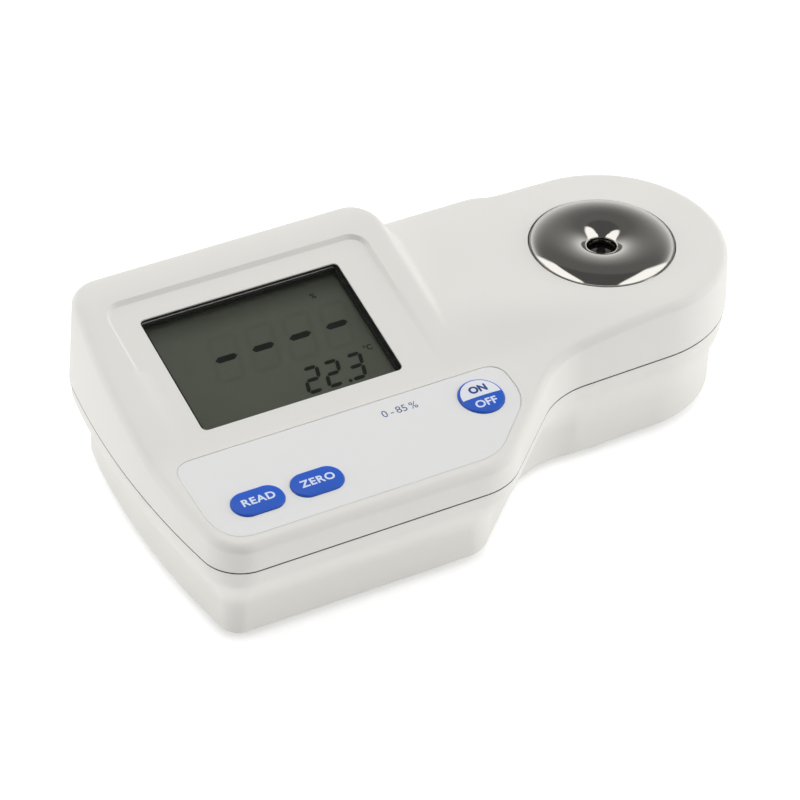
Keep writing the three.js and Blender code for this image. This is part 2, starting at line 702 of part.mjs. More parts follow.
function upperHousing() {
  let body = cutBy(upperShape(), upperInside(wall));
  body = cutBy(body, loft([outlineAt(lipWidth, -overrun), outlineAt(lipWidth, sealTop + gap)]));
  const wellBoss = toSolid(moved(rod(wellBossRadius, wellBossBottom, deckHeight - wall / 2, roundSides),
    wellAt.x, wellAt.y));
  const bosses = joined(
    wellBoss,
    ...caseBosses(gap / 2, hoodHeight, caseBossRadius),
    ...boardCorners.map(([x, y]) => inDisplay(moved(rod(boardBoss.radius, -frameBottom, -panelRoof / 2), x, y))),
    ...keypadScrewPlaces.map((at) => {
      const place = onKeypad(at);
      return inKeypad(moved(rod(boardBoss.radius, keypadBoardTop + gap, -keypadRoof / 2), place.x, place.y));
    }),
  );
  body = body.add(bosses.intersect(upperInside(wall / 2)));
  const panel = extruded(rectangle(panelLeft - panelRight, panelBack + creaseOffset + panelCorner, panelCorner),
    0, overrun * 2);
  const panelMiddle = onDisplayY((panelBack - creaseOffset - panelCorner) / 2);
  moved(panel, -(panelLeft + panelRight) / 2 - windowCentre.x, panelMiddle);
  const panelCut = inDisplay(panel).intersect(toSolid(box(-caseLength, caseLength, -creaseOffset, caseWidth,
    -caseWidth, caseWidth)));
  const aperture = inDisplay(extruded(rectangle(windowSize.width, windowSize.depth, windowSize.corner),
    -overrun, overrun));
  const pocket = inDisplay(extruded(rectangle(frameOuter.width + 2 * gap, frameOuter.depth + 2 * gap,
    windowSize.corner), -frameBottom, frameTop + gap));
  const pilots = [
    ...boardCorners.map(([x, y]) => inDisplay(moved(
      rod(smallScrew.shank + gap, -frameBottom - overrun, -frameBottom + pilotDepth), x, y))),
    ...keypadScrewPlaces.map((at) => {
      const place = onKeypad(at);
      return inKeypad(moved(rod(smallScrew.shank + gap, keypadBoardBottom, flangeTop), place.x, place.y));
    }),
    ...caseBosses(-overrun, caseScrewTop() + gap, caseScrew.shank + gap),
    ...opticsScrews().map(([x, y]) => toSolid(moved(
      rod(smallScrew.shank + gap, wellBossBottom - overrun, opticsScrewTop + gap), x, y))),
  ];
  const keyHoles = Object.values(keys).map((key) => {
    const place = keyPlace(key);
    return inKeypad(moved(extruded(key.shape(gap), -keypadRoof - overrun, overrun), place.x, place.y));
  });
  const overlayCut = inKeypad(extruded(overlayShape(gap), -keypadRecess, overrun));
  const wellCuts = [
    rod(wellRadius + gap, wellLedge, deckHeight + overrun, roundSides),
    rod(wellSpigotRadius + gap, 0, deckHeight, roundSides),
    turned([[oRingInner - gap, oRingFloor], [oRingOuter + gap, oRingFloor],
      [oRingOuter + gap, deckHeight], [oRingInner - gap, deckHeight]]),
  ].map((geometry) => toSolid(moved(geometry, wellAt.x, wellAt.y)));
  return cutBy(body, panelCut, aperture, pocket, overlayCut, ...keyHoles, ...wellCuts, ...pilots);
}

// Levels of the well, over the parting plane
const wellRim = deckHeight - wellRimDrop;
const wellFlangeBottom = wellRim - wellFlange;
const wellLedge = wellFlangeBottom - gap;
const wellHoleEdge = deckHeight - wellHoleDrop;
const wellCrown = deckHeight + wellCrownRise;
const oRingInner = oRingRadius - oRingSection;
const oRingOuter = oRingRadius + oRingSection;
const oRingCentre = wellLedge - oRingSection;
const oRingFloor = oRingCentre - oRingSection - gap;
const prismSealTop = wellHoleEdge - wellFloor - gap;
const prismTop = prismSealTop - prismSealThickness - gap;
const opticsTop = wellBossBottom - gap;
const opticsCoverTop = opticsBottom - gap;
const opticsCoverBottom = opticsCoverTop - opticsCoverThickness;
const opticsScrewTop = deckHeight - wall - gap;

function opticsScrews() {
  return [-1, 1].map((side) => [wellAt.x + side * opticsScrewAt.u, wellAt.y - side * opticsScrewAt.v]);
}

function caseScrewTop() {
  return caseScrew.length + caseScrew.sunk - lowerDepth;
}

// Lower housing

function lowerInset(s, depth) {
  const shoulder = skirtHeight + shoulderHeight;
  const share = (part) => skirtInset + (s.taper - skirtInset) * part;
  const levels = [
    [0, lipInset], [skirtHeight, skirtInset], [(skirtHeight + shoulder) / 2, share(shoulderMiddleShare)],
    [shoulder, share(shoulderFootShare)], [lowerDepth, s.taper],
  ];
  const next = levels.findIndex(([level]) => level >= depth);
  if (next <= 0) return levels[next === 0 ? 0 : levels.length - 1][1];
  const [[from, a], [to, b]] = [levels[next - 1], levels[next]];
  return a + (b - a) * (depth - from) / (to - from);
}

const lowerRing = (depth, extra, z = -depth) => outline.map((s) => insetBy(s, lowerInset(s, depth) + extra, z));

function lowerShape() {
  const shoulder = skirtHeight + shoulderHeight;
  const rings = [lipGap / 2, skirtHeight, (skirtHeight + shoulder) / 2, shoulder, lowerDepth - bottomRadius]
    .map((depth) => lowerRing(depth, 0));
  for (let i = 1; i <= edgeSteps; i += 1) {
    const angle = Math.PI / 2 * i / edgeSteps;
    rings.push(lowerRing(lowerDepth - bottomRadius * (1 - Math.sin(angle)), bottomRadius * (1 - Math.cos(angle))));
  }
  return loft(rings);
}

function lowerHollow() {
  const shoulder = skirtHeight + shoulderHeight;
  const floor = lowerDepth - wall;
  return loft([lowerRing(0, wall, overrun), lowerRing(skirtHeight, wall),
    lowerRing((skirtHeight + shoulder) / 2, wall),
    lowerRing(shoulder, wall), lowerRing(floor, wall)]);
}

// Levels of the battery pot and its cover
const lipTop = batteryLip - lowerDepth;
const coverLedge = coverFlange.thickness + gap - lowerDepth;
const lugBottom = lipTop + gap;
const coverTop = lugBottom + lugSize.height;
const batteryBottom = coverTop + gap;
const batteryTop = batteryBottom + batterySize.height;
const potCeiling = batteryTop + gap;
const potTop = potCeiling + batteryPot.ceiling;
const spigotRadius = batteryBore - coverClearance;
const snapStart = batteryPot.x - batteryShift + batterySize.length / 2 + gap;
const leadX = snapStart + snapSize.thickness + batteryPot.wall + leadRadius;
const batteryMiddle = (batteryBottom + batteryTop) / 2;

function lugBlocks(reach, width, low, high, turn) {
  return Array.from({ length: lugCount }, (_, i) => {
    const block = box(spigotRadius - coverRingWall, spigotRadius + reach, -width / 2, width / 2, low, high);
    return toSolid(moved(block.rotateZ(turn + Math.PI * 2 * i / lugCount), batteryPot.x, 0));
  });
}

function lowerHousing() {
  const atPot = (geometry) => toSolid(moved(geometry, batteryPot.x, 0));
  let body = lowerShape().subtract(lowerHollow());
  body = body.subtract(loft([outlineAt(lipWidth, -sealTop - gap), outlineAt(lipWidth, overrun)]));
  const floorInside = wall / 2 - lowerDepth;
  body = joined(
    body,
    atPot(rod(batteryPot.radius + batteryPot.wall, floorInside, potTop, roundSides)),
    ...caseBosses(floorInside, -gap / 2, caseBossRadius),
    ...Object.values(footPlaces).map(([x, y]) => toSolid(moved(
      rod(footRadius + wall / 2, floorInside, footSunk + wall - lowerDepth, smallSides), x, y))),
  );
  const below0 = -lowerDepth - overrun;
  const cuts = [
    atPot(rod(batteryBore, below0, potCeiling, roundSides)),
    atPot(rod(batteryPot.radius, lipTop, potCeiling, roundSides)),
    atPot(rod(coverFlange.radius + gap, below0, coverLedge, roundSides)),
    ...lugBlocks(lugSize.reach + gap, lugSize.width + 4 * gap, below0, potCeiling, -lugTurn),
    toSolid(box(leadX - 2 * leadRadius - gap, leadX + 2 * leadRadius + gap, -leadSpacing, leadSpacing,
      potCeiling - overrun / 2, potTop + overrun)),
    ...caseBosses(below0, overrun, caseScrew.shank + gap),
    ...caseBosses(below0, caseScrew.sunk + caseScrew.headHeight - lowerDepth, caseScrew.head + gap),
    ...Object.values(footPlaces).map(([x, y]) => toSolid(moved(
      rod(footRadius + gap, below0, footSunk + gap - lowerDepth, roundSides / 2), x, y))),
  ];
  return cutBy(body, ...cuts);
}

// Pieces with a plain form

function housingSeal() {
  const inner = lipWidth + gap;
  return ringLoft(outline.map((s) => [
    insetBy(s, inner, -sealTop), insetBy(s, inner + sealWidth, -sealTop),
    insetBy(s, inner + sealWidth, sealTop), insetBy(s, inner, sealTop),
  ]));
}

function plateWithHole(outer, hole, low, high) {
  outer.holes.push(hole);
  return extruded(outer, low, high);
}

const insideWindow = (border) => rectangle(windowSize.width - 2 * border, windowSize.depth - 2 * border,
  Math.max(windowSize.corner - border, windowSize.corner / 4));

function lcdFrame() {
  const outer = (grow) => rectangle(frameOuter.width + 2 * grow, frameOuter.depth + 2 * grow, windowSize.corner);
  return cutBy(
    toSolid(extruded(outer(0), -frameBottom, frameTop)),
    toSolid(extruded(rectangle(glassSize.width + 2 * gap, glassSize.depth + 2 * gap, windowSize.corner / 2),
      -frameBottom - overrun, frameTop - frameFlange)),
    toSolid(extruded(insideWindow(gap + gasketBorder), -frameBottom, frameTop + overrun)),
  );
}

function screw(size, low, headLow, top) {
  const { shank, head } = size;
  return turned([[0, low], [head * headCrownShare, low], [head, low + size.headHeight / 3], [head, headLow],
    [shank, headLow], [shank, top - shank], [0, top]], smallSides);
}

function mainBoard() {
  const plate = rectangle(boardSize.width, boardSize.depth, boardSize.corner);
  const board = toSolid(extruded(plate, boardBottom, boardTop));
  const chip = toSolid(box(-chipSize.width / 2, chipSize.width / 2, -chipSize.depth / 2, chipSize.depth / 2,
    boardBottom - chipSize.height, boardBottom + boardThickness / 2));
  return cutBy(board.add(chip), ...boardCorners.map(([x, y]) => toSolid(moved(
    rod(smallScrew.shank + gap, boardBottom - overrun, boardTop + overrun), x, y))));
}

function keypadOverlay() {
  const shape = overlayShape(0);
  for (const key of Object.values(keys)) {
    const place = keyPlace(key);
    const hole = key.shape(gap).getPoints().map((p) => p.add(place));
    shape.holes.push(new THREE.Path(hole));
  }
  return extruded(shape, -overlayThickness, 0);
}

function keyCap(key) {
  const crown = extruded(key.shape(-keyCrown), flangeTop, keyRise);
  const cap = joined(
    toSolid(extruded(key.shape(0), flangeBottom, keyRise - keyCrown)),
    toSolid(crown),
    toSolid(extruded(key.shape(keyFlange.border), flangeBottom, flangeTop)),
    toSolid(rod(keyPlunger.radius, plungerBottom, flangeTop)),
  );
  return cap;
}

function snapDome() {
  const outside = [];
  const inside = [];
  for (let i = 0; i <= edgeSteps; i += 1) {
    const share = i / edgeSteps;
    const fall = share ** 2 * (domeHeight - domeWall);
    outside.push([domeRadius * share, domeTop - fall]);
    inside.unshift([domeRadius * share, domeTop - domeWall - fall]);
  }
  return turned([...outside, ...inside], smallSides);
}

function keypadBoard() {
  const edge = keypadBoardInset;
  const left = edge.left - halfLength;
  const right = hoodRight + edge.right;
  const front = edge.front - halfWidth;
  const back = -creaseOffset - edge.back;
  const corners = [[left, front], [frontRight + edge.tip, front], [right, edge.turn - halfWidth], [right, back],
    [left, back]].map(([x, y]) => onKeypad({ x, y }));
  const plate = extruded(polygon(corners.map(({ x, y }) => [x, y])), keypadBoardBottom, keypadBoardTop);
  const screws = keypadScrewPlaces.map(onKeypad).map((at) => toSolid(moved(
    rod(smallScrew.shank + gap, keypadBoardBottom - overrun, keypadBoardTop + overrun), at.x, at.y)));
  const posts = caseScrewPlaces.map(([x, y]) => toSolid(moved(
    rod(caseBossRadius + 2 * gap, -hoodHeight, hoodHeight), x, y)
    .applyMatrix4(keypadFrame.clone().invert())));
  return cutBy(toSolid(plate), ...screws, ...posts);
}

function sampleWell() {
  const bowl = [];
  const crown = [];
  const steps = edgeSteps * 2;
  for (let i = 0; i <= steps; i += 1) {
    const share = i / steps;
    const swing = Math.sin(Math.PI / 2 * share) ** 2;
    bowl.push([wellHoleRadius + (wellCrownRadius - wellHoleRadius) * share,
      wellHoleEdge + (wellCrown - wellHoleEdge) * swing]);
    const angle = Math.PI / 2 * share;
    if (i > 0) {
      crown.push([wellCrownRadius + (wellRadius - wellCrownRadius) * Math.sin(angle),
        wellRim + (wellCrown - wellRim) * Math.cos(angle)]);
    }
  }
  const ring = turned([
    ...bowl, ...crown, [wellRadius, wellFlangeBottom], [wellSpigotRadius, wellFlangeBottom],
    [wellSpigotRadius, wellSpigotBottom], [wellPocketRadius, wellSpigotBottom],
    [wellPocketRadius, wellHoleEdge - wellFloor], [wellHoleRadius, wellHoleEdge - wellFloor],
  ].reverse());
  const probe = moved(rod(sensorProbe.radius + gap, wellSpigotBottom - overrun,
    wellSpigotBottom + sensorProbe.depth), 0, sensorProbe.at);
  return cutBy(toSolid(ring), toSolid(probe));
}

function circleSection(radius, centreRadius, centre, steps) {
  return Array.from({ length: steps }, (_, i) => {
    const angle = Math.PI * 2 * i / steps;
    return [centreRadius + radius * Math.cos(angle), centre + radius * Math.sin(angle)];
  });
}

function prismSection(grow) {
  const { width, foot, height, straight } = prismSize;
  const half = width / 2 + grow;
  const low = prismTop - height - grow;
  return [[-half, prismTop + grow], [-half, prismTop - straight], [-foot / 2 - grow, low],
    [foot / 2 + grow, low], [half, prismTop - straight], [half, prismTop + grow]];
}

function mirrorPlate(grow) {
  const half = mirrorSize.side / 2 + grow;
  return box(-half, half, -half, half, -mirrorSize.thickness - grow, grow)
    .rotateY(-Math.PI / 4).translate(mirrorSize.u, 0, lampAxis);
}

function opticalBlock() {
  const body = toSolid(box(-opticsLeft, opticsRight, -opticsHalfWidth, opticsHalfWidth, opticsBottom, opticsTop));
  const boreEnd = lampBoreLength - opticsLeft;
  const prismHalf = prismSize.width / 2 + gap;
  const foot = prismSize.foot / 2;
  const slopeFoot = prismTop - prismSize.height;
  const mirrorReach = mirrorSize.side / 2 + mirrorSize.thickness;
  const down = opticsBottom - overrun;
  const lampRoom = sideExtruded([
    [boreEnd, down], [mirrorSize.u - mirrorReach, down], [mirrorSize.u - mirrorReach, lampAxis - mirrorReach],
    [mirrorSize.u + mirrorReach, lampAxis + mirrorReach], [-foot, slopeFoot + gap],
    [-prismHalf, slopeFoot + prismSize.height / 2],
    [-prismHalf, chamberTop], [boreEnd, chamberTop],
  ], -lightHalfWidth, lightHalfWidth);
  const sensorTop = imageSensor.z + imageSensor.height / 2 + gap;
  const sensorLow = imageSensor.z - imageSensor.height / 2 - gap;
  const sensorFace = opticsRight - imageSensor.thickness - 2 * gap;
  const sensorRoom = sideExtruded([
    [foot, slopeFoot + gap], [sensorFace, sensorLow], [opticsRight + overrun, sensorLow],
    [opticsRight + overrun, sensorTop], [sensorFace, sensorTop], [prismHalf, slopeFoot + prismSize.height / 2],
  ], -lightHalfWidth, lightHalfWidth);
  const pocket = sideExtruded(prismSection(gap), -prismHalf, prismHalf);
  const lampBore = rod(lampRadius + gap, 0, opticsLeft + overrun).rotateY(-Math.PI / 2)
    .translate(boreEnd, 0, lampAxis);
  const holes = [-1, 1].map((side) => moved(
    rod(smallScrew.shank + gap, down, opticsTop + overrun), side * opticsScrewAt.u, -side * opticsScrewAt.v));
  return cutBy(body, ...[lampRoom, sensorRoom, pocket, lampBore, mirrorPlate(gap), ...holes].map(toSolid));
}

function lens() {
  const { radius, edge, bulge } = lensSize;
  const face = (side) => [0, 1, 2].map((i) => [radius * i / 2, side * (edge / 2 + bulge * (1 - (i / 2) ** 2))]);
  return turned([...face(1), ...face(-1).reverse()], roundSides / 2).rotateY(Math.PI / 2)
    .translate(-lensSize.at, 0, lampAxis);
}

function lamp() {
  const start = -gap;
  const tip = lampLength;
  const shoulder = tip - lampRadius;
  return turned([[0, start - lampFlange.thickness], [lampFlange.radius, start - lampFlange.thickness],
    [lampFlange.radius, start], [lampRadius, start], [lampRadius, shoulder],
    [lampRadius * Math.SQRT1_2, shoulder + lampRadius * Math.SQRT1_2], [0, tip]], smallSides)
    .rotateY(Math.PI / 2).translate(-opticsLeft, 0, lampAxis);
}

function batteryCover() {
  const grooveTop = coverGroove.at + coverGroove.height - lowerDepth;
  const grooveFloor = spigotRadius - coverGroove.depth;
  const body = turned([
    [0, -lowerDepth], [coverFlange.radius, -lowerDepth], [coverFlange.radius, coverLedge - gap],
    [spigotRadius, coverLedge - gap], [spigotRadius, coverGroove.at - lowerDepth],
    [grooveFloor, coverGroove.at - lowerDepth], [grooveFloor, grooveTop], [spigotRadius, grooveTop],
    [spigotRadius, coverTop], [spigotRadius - coverRingWall, coverTop],
    [spigotRadius - coverRingWall, coverPlate - lowerDepth], [0, coverPlate - lowerDepth],
  ]);
  const lugs = lugBlocks(lugSize.reach, lugSize.width, lugBottom, coverTop, 0);
  const dish = turned([[0, -lowerDepth - overrun], [coinSlot.dish, -lowerDepth - overrun],
    [coinSlot.dish, -lowerDepth], [0, coinSlot.depth / 3 - lowerDepth]], roundSides / 2);
  const slot = box(-coinSlot.length / 2, coinSlot.length / 2, -coinSlot.width / 2, coinSlot.width / 2,
    -lowerDepth - overrun, coinSlot.depth - lowerDepth);
  const atPot = (geometry) => toSolid(moved(geometry, batteryPot.x, 0));
  return cutBy(joined(atPot(body), ...lugs), atPot(dish), atPot(slot));
}

function battery() {
  const can = extruded(rectangle(batterySize.width, batterySize.height, batterySize.corner), 0, batterySize.length)
    .rotateX(Math.PI / 2).rotateZ(Math.PI / 2);
  const start = batteryPot.x - batteryShift - batterySize.length / 2;
  moved(can, start, 0, batteryMiddle);
  const ends = [-1, 1].map((side) => rod(terminal.radius, -terminal.radius / 2, terminal.length)
    .rotateY(Math.PI / 2).translate(start + batterySize.length, side * terminal.spacing / 2, batteryMiddle));
  return joined(toSolid(can), ...ends.map(toSolid));
}

function batterySnap() {
  const { thickness, width, height } = snapSize;
  const block = box(snapStart, snapStart + thickness, -width / 2, width / 2,
    batteryMiddle - height / 2, batteryMiddle + height / 2);
  const sockets = [-1, 1].map((side) => rod(terminal.radius + gap, -overrun, terminal.length)
    .rotateY(Math.PI / 2).translate(snapStart, side * terminal.spacing / 2, batteryMiddle));
  return cutBy(toSolid(block), ...sockets.map(toSolid));
}

// Underside of the main board at a place of the plan
function boardUnderside(x, y) {
  const below0 = new THREE.Vector3(0, 0, boardBottom).applyMatrix4(displayFrame);
  return below0.z + panelSlopeShare * (y - below0.y);
}

function batteryLead(side) {
  const y = side * leadSpacing / 2;
  const bend = leadX - snapStart - snapSize.thickness - gap;
  const start = snapStart + snapSize.thickness + gap;
  const path = new THREE.CurvePath();
  const top = boardUnderside(leadX, y - leadRadius) - gap;
  path.add(new THREE.QuadraticBezierCurve3(new THREE.Vector3(start, y, batteryMiddle),
    new THREE.Vector3(leadX, y, batteryMiddle), new THREE.Vector3(leadX, y, batteryMiddle + bend)));
  path.add(new THREE.LineCurve3(
    new THREE.Vector3(leadX, y, batteryMiddle + bend), new THREE.Vector3(leadX, y, top),
  ));
  const circle = new THREE.Shape().absarc(0, 0, leadRadius, 0, Math.PI * 2);
  return new THREE.ExtrudeGeometry(circle, {
    steps: smallSides / 2, curveSegments: leadSides, bevelEnabled: false, extrudePath: path,
  });
}

// A flat cable of one thickness along a line of points in X and Z
function ribbon(points, y0, y1) {
  const offset = (share) => points.map(([x, z], i) => {
    const [bx, bz] = points[Math.max(i - 1, 0)];
    const [ax, az] = points[Math.min(i + 1, points.length - 1)];
    const length = Math.hypot(ax - bx, az - bz);
    return [x - (az - bz) / length * share, z + (ax - bx) / length * share];
  });
  return sideExtruded([...offset(ribbonThickness / 2), ...offset(-ribbonThickness / 2).reverse()], y0, y1);
}

function sensorRibbon() {
  const y0 = wellAt.y - sensorRibbonWidth / 2;
  const y1 = wellAt.y + sensorRibbonWidth / 2;
  const boardRight = windowCentre.x + boardSize.width / 2;
  const start = boardRight - boardBoss.radius;
  const end = wellAt.x + opticsRight + gap + sensorBoardThickness / 2;
  const foot = imageSensor.z - sensorBoardHeight / 2;
  const turn = overrun;
  return ribbon([
    [start, boardUnderside(start, y0) - gap], [start, ribbonLevel + 2 * turn],
    [start + turn / 3, ribbonLevel + turn / 2],
    [start + turn, ribbonLevel], [end - turn / 4, ribbonLevel], [end, foot - gap],
  ], y0, y1);
}

function keypadRibbon() {
  const boardFront = windowCentre.y - (boardSize.depth / 2) * Math.cos(Math.atan(panelSlopeShare));
  const start = boardFront + boardBoss.radius;
  const end = -creaseOffset - keypadBoardInset.back - boardBoss.radius;
  const underKeypad = new THREE.Vector3(0, 0, keypadBoardBottom).applyMatrix4(keypadFrame);
  const endZ = underKeypad.z + keypadSlopeShare * (end - underKeypad.y) - gap;
  const startZ = boardUnderside(0, start) - gap;
  const low = Math.min(startZ, endZ) - 2 * ribbonThickness;
  const shape = ribbon([[end, endZ], [end + ribbonThickness, low], [start - ribbonThickness, low], [start, startZ]],
    -keypadRibbonWidth / 2, keypadRibbonWidth / 2);
  return moved(shape.rotateZ(Math.PI / 2), windowCentre.x, 0);
}

// Materials

const finish = (color, roughness, metalness = 0, opacity = 1) => (
  new THREE.MeshStandardMaterial({ color, roughness, metalness, opacity, transparent: opacity < 1 }));
const whitePlastic = finish(0xe4e3de, 0.45);
const greyFilm = finish(0xdcdde0, 0.4);
const bluePlastic = finish(0x245bbf, 0.4);
const blackPlastic = finish(0x1b1b1c, 0.5);
const darkRubber = finish(0x26272a, 0.85);
const clearPlastic = finish(0xe6ecec, 0.08, 0, 0.35);
const displayGlass = finish(0x55564c, 0.2);
const steel = finish(0xc9cbcd, 0.12, 1);
const zinc = finish(0xb9bcc0, 0.35, 1);
const opticalGlass = finish(0x39352a, 0.05);
const boardGreen = finish(0x1f6a45, 0.55);
const ribbonBrown = finish(0xb9772c, 0.5);
const redSleeve = finish(0xb3261e, 0.6);

// Assembly

const refractometer = new THREE.Group();
refractometer.position.z = partingHeight;
const display = new THREE.Group();
display.applyMatrix4(displayFrame);
const keypad = new THREE.Group();
keypad.applyMatrix4(keypadFrame);
const optics = new THREE.Group();
optics.position.set(wellAt.x, wellAt.y, 0);
refractometer.add(display, keypad, optics);

function add(group, name, shape, material) {
  const geometry = shape.isBufferGeometry ? shape : toGeometry(shape);
  const mesh = new THREE.Mesh(geometry, material);
  mesh.name = name;
  group.add(mesh);
  return mesh;
}

add(refractometer, 'upper_housing', upperHousing(), whitePlastic);
add(refractometer, 'lower_housing', lowerHousing(), whitePlastic);
add(refractometer, 'housing_seal', housingSeal(), darkRubber);

add(display, 'display_window', extruded(insideWindow(gap), windowBottom, windowTop), clearPlastic);
add(display, 'window_gasket', plateWithHole(insideWindow(gap), insideWindow(gap + gasketBorder),
  gasketBottom, gasketTop), blackPlastic);
add(display, 'lcd_frame', lcdFrame(), blackPlastic);
add(display, 'lcd_glass', extruded(rectangle(glassSize.width, glassSize.depth, windowSize.corner / 2),
  glassBottom, glassTop), displayGlass);
for (const [name, side] of [['contact_strip_front', -1], ['contact_strip_back', 1]]) {
  const middle = side * (glassSize.depth / 2 - stripSize.inset - stripSize.width / 2);
  const reach = glassSize.width / 2 - stripSize.margin;
  add(display, name, box(-reach, reach, middle - stripSize.width / 2,
    middle + stripSize.width / 2, boardTop + gap, glassBottom - gap), darkRubber);
}
add(display, 'main_board', mainBoard(), boardGreen);
boardCorners.forEach(([x, y], i) => {
  const low = boardBottom - gap - smallScrew.headHeight;
  add(display, `board_screw_${i + 1}`, moved(screw(smallScrew, low, boardBottom - gap,
    pilotDepth - frameBottom - gap), x, y), zinc);
});

add(keypad, 'keypad_overlay', keypadOverlay(), greyFilm);
for (const [name, key] of Object.entries(keys)) {
  const place = keyPlace(key);
  add(keypad, `key_${name}`, keyCap(key), bluePlastic).position.set(place.x, place.y, 0);
  add(keypad, `dome_${name}`, snapDome(), steel).position.set(place.x, place.y, 0);
}
add(keypad, 'keypad_board', keypadBoard(), boardGreen);
keypadScrewPlaces.map(onKeypad).forEach((at, i) => {
  const low = keypadBoardBottom - gap - smallScrew.headHeight;
  add(keypad, `keypad_screw_${i + 1}`, moved(screw(smallScrew, low, keypadBoardBottom - gap,
    flangeTop - gap), at.x, at.y), zinc);
});

add(optics, 'sample_well', sampleWell(), steel);
add(optics, 'well_o_ring', turned(circleSection(oRingSection, oRingRadius, oRingCentre, cornerSteps)), darkRubber);
add(optics, 'prism_seal', turned([[wellHoleRadius + gap, prismSealTop], [wellHoleRadius + gap, prismTop + gap],
  [wellPocketRadius - gap, prismTop + gap], [wellPocketRadius - gap, prismSealTop]].reverse(), roundSides / 2),
  darkRubber);
add(optics, 'prism', sideExtruded(prismSection(0), -prismSize.width / 2, prismSize.width / 2), opticalGlass);
add(optics, 'optical_block', opticalBlock(), blackPlastic);
const opticsCover = box(
  -opticsLeft, opticsRight, -opticsHalfWidth, opticsHalfWidth, opticsCoverBottom, opticsCoverTop,
);
add(optics, 'optics_cover', cutBy(toSolid(opticsCover), ...[-1, 1].map((side) => toSolid(moved(
  rod(smallScrew.shank + gap, opticsCoverBottom - overrun, opticsCoverTop + overrun),
  side * opticsScrewAt.u, -side * opticsScrewAt.v)))), blackPlastic);
[-1, 1].forEach((side, i) => {
  const low = opticsCoverBottom - gap - smallScrew.headHeight;
  add(optics, `optics_screw_${i + 1}`, moved(screw(smallScrew, low, opticsCoverBottom - gap, opticsScrewTop),
    side * opticsScrewAt.u, -side * opticsScrewAt.v), zinc);
});
add(optics, 'lamp', lamp(), clearPlastic);
const lampBoardRight = -opticsLeft - gap - lampFlange.thickness - gap;
add(optics, 'lamp_board', box(lampBoardRight - lampBoard.thickness, lampBoardRight, -lampBoard.width / 2,
  lampBoard.width / 2, lampAxis - lampBoard.height / 2, lampAxis + lampBoard.height / 2), boardGreen);
add(optics, 'lens', lens(), clearPlastic);
add(optics, 'mirror', mirrorPlate(0), steel);
add(optics, 'image_sensor', box(
  opticsRight - imageSensor.thickness, opticsRight, -imageSensor.width / 2, imageSensor.width / 2,
  imageSensor.z - imageSensor.height / 2, imageSensor.z + imageSensor.height / 2,
), blackPlastic);
add(optics, 'sensor_board', box(opticsRight + gap, opticsRight + gap + sensorBoardThickness, -opticsHalfWidth,
  opticsHalfWidth, imageSensor.z - sensorBoardHeight / 2, imageSensor.z + sensorBoardHeight / 2), boardGreen);
add(optics, 'temperature_sensor', moved(rod(sensorProbe.radius,
  wellSpigotBottom + sensorProbe.depth - gap - sensorProbe.length, wellSpigotBottom + sensorProbe.depth - gap),
  0, sensorProbe.at), steel);

add(refractometer, 'sensor_ribbon', sensorRibbon(), ribbonBrown);
add(refractometer, 'keypad_ribbon', keypadRibbon(), ribbonBrown);
add(refractometer, 'battery', battery(), blackPlastic);
add(refractometer, 'battery_snap', batterySnap(), darkRubber);
add(refractometer, 'battery_lead_red', batteryLead(1), redSleeve);
add(refractometer, 'battery_lead_black', batteryLead(-1), darkRubber);
add(refractometer, 'battery_cover', batteryCover(), whitePlastic);
add(refractometer, 'cover_o_ring', moved(turned(circleSection(coverRingSection,
  spigotRadius - coverGroove.depth / 2 + gap / 2, coverGroove.at + coverGroove.height / 2 - lowerDepth, cornerSteps)),
  batteryPot.x, 0), darkRubber);
for (const [name, [x, y]] of Object.entries(footPlaces)) {
  add(refractometer, `foot_${name}`, moved(turned([
    [0, -lowerDepth - footProud], [footRadius - footProud / 2, -lowerDepth - footProud],
    [footRadius, footProud / 2 - lowerDepth - footProud], [footRadius, footSunk - lowerDepth],
    [0, footSunk - lowerDepth],
  ], roundSides / 2), x, y), darkRubber);
}
caseScrewPlaces.forEach(([x, y], i) => {
  const headTop = caseScrew.sunk + caseScrew.headHeight - gap - lowerDepth;
  add(refractometer, `housing_screw_${i + 1}`, moved(screw(caseScrew, headTop - caseScrew.headHeight, headTop,
    caseScrewTop()), x, y), zinc);
});

export default refractometer;
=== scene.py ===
"""A digital refractometer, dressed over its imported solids.

Sizes are in millimetres and become metres where a mesh is made. Heights of the case are measured
from the parting plane between its two shells, as in the solids.
"""

import logging
import math
from dataclasses import dataclass, field
from enum import Enum
from typing import Callable, ClassVar, Iterable, Sequence

import bmesh
import bpy
import numpy as np
from bpy.types import Material, Mesh, Node, NodeSocket, NodeTree
from mathutils import Matrix, Vector
from mathutils.geometry import delaunay_2d_cdt
from mathutils.kdtree import KDTree


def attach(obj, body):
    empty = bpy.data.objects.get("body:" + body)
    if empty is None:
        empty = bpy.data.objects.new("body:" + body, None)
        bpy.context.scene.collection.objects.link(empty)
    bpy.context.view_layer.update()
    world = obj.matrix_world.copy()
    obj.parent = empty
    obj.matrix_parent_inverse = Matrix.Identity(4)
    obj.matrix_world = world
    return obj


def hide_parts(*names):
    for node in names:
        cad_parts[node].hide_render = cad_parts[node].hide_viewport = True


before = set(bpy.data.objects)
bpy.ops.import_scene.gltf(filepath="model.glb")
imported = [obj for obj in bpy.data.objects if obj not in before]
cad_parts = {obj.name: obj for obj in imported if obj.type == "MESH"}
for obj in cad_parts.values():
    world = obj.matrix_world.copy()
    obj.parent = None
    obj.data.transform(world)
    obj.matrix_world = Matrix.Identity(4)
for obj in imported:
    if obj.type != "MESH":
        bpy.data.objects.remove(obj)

LOG = logging.getLogger("refractometer")
MM = 0.001
PARTING = 28.5
LOWER_DEPTH = 26.9
WELL_AT = (59.2, 13.42)
BATTERY_AT = (-46.0, 0.0)
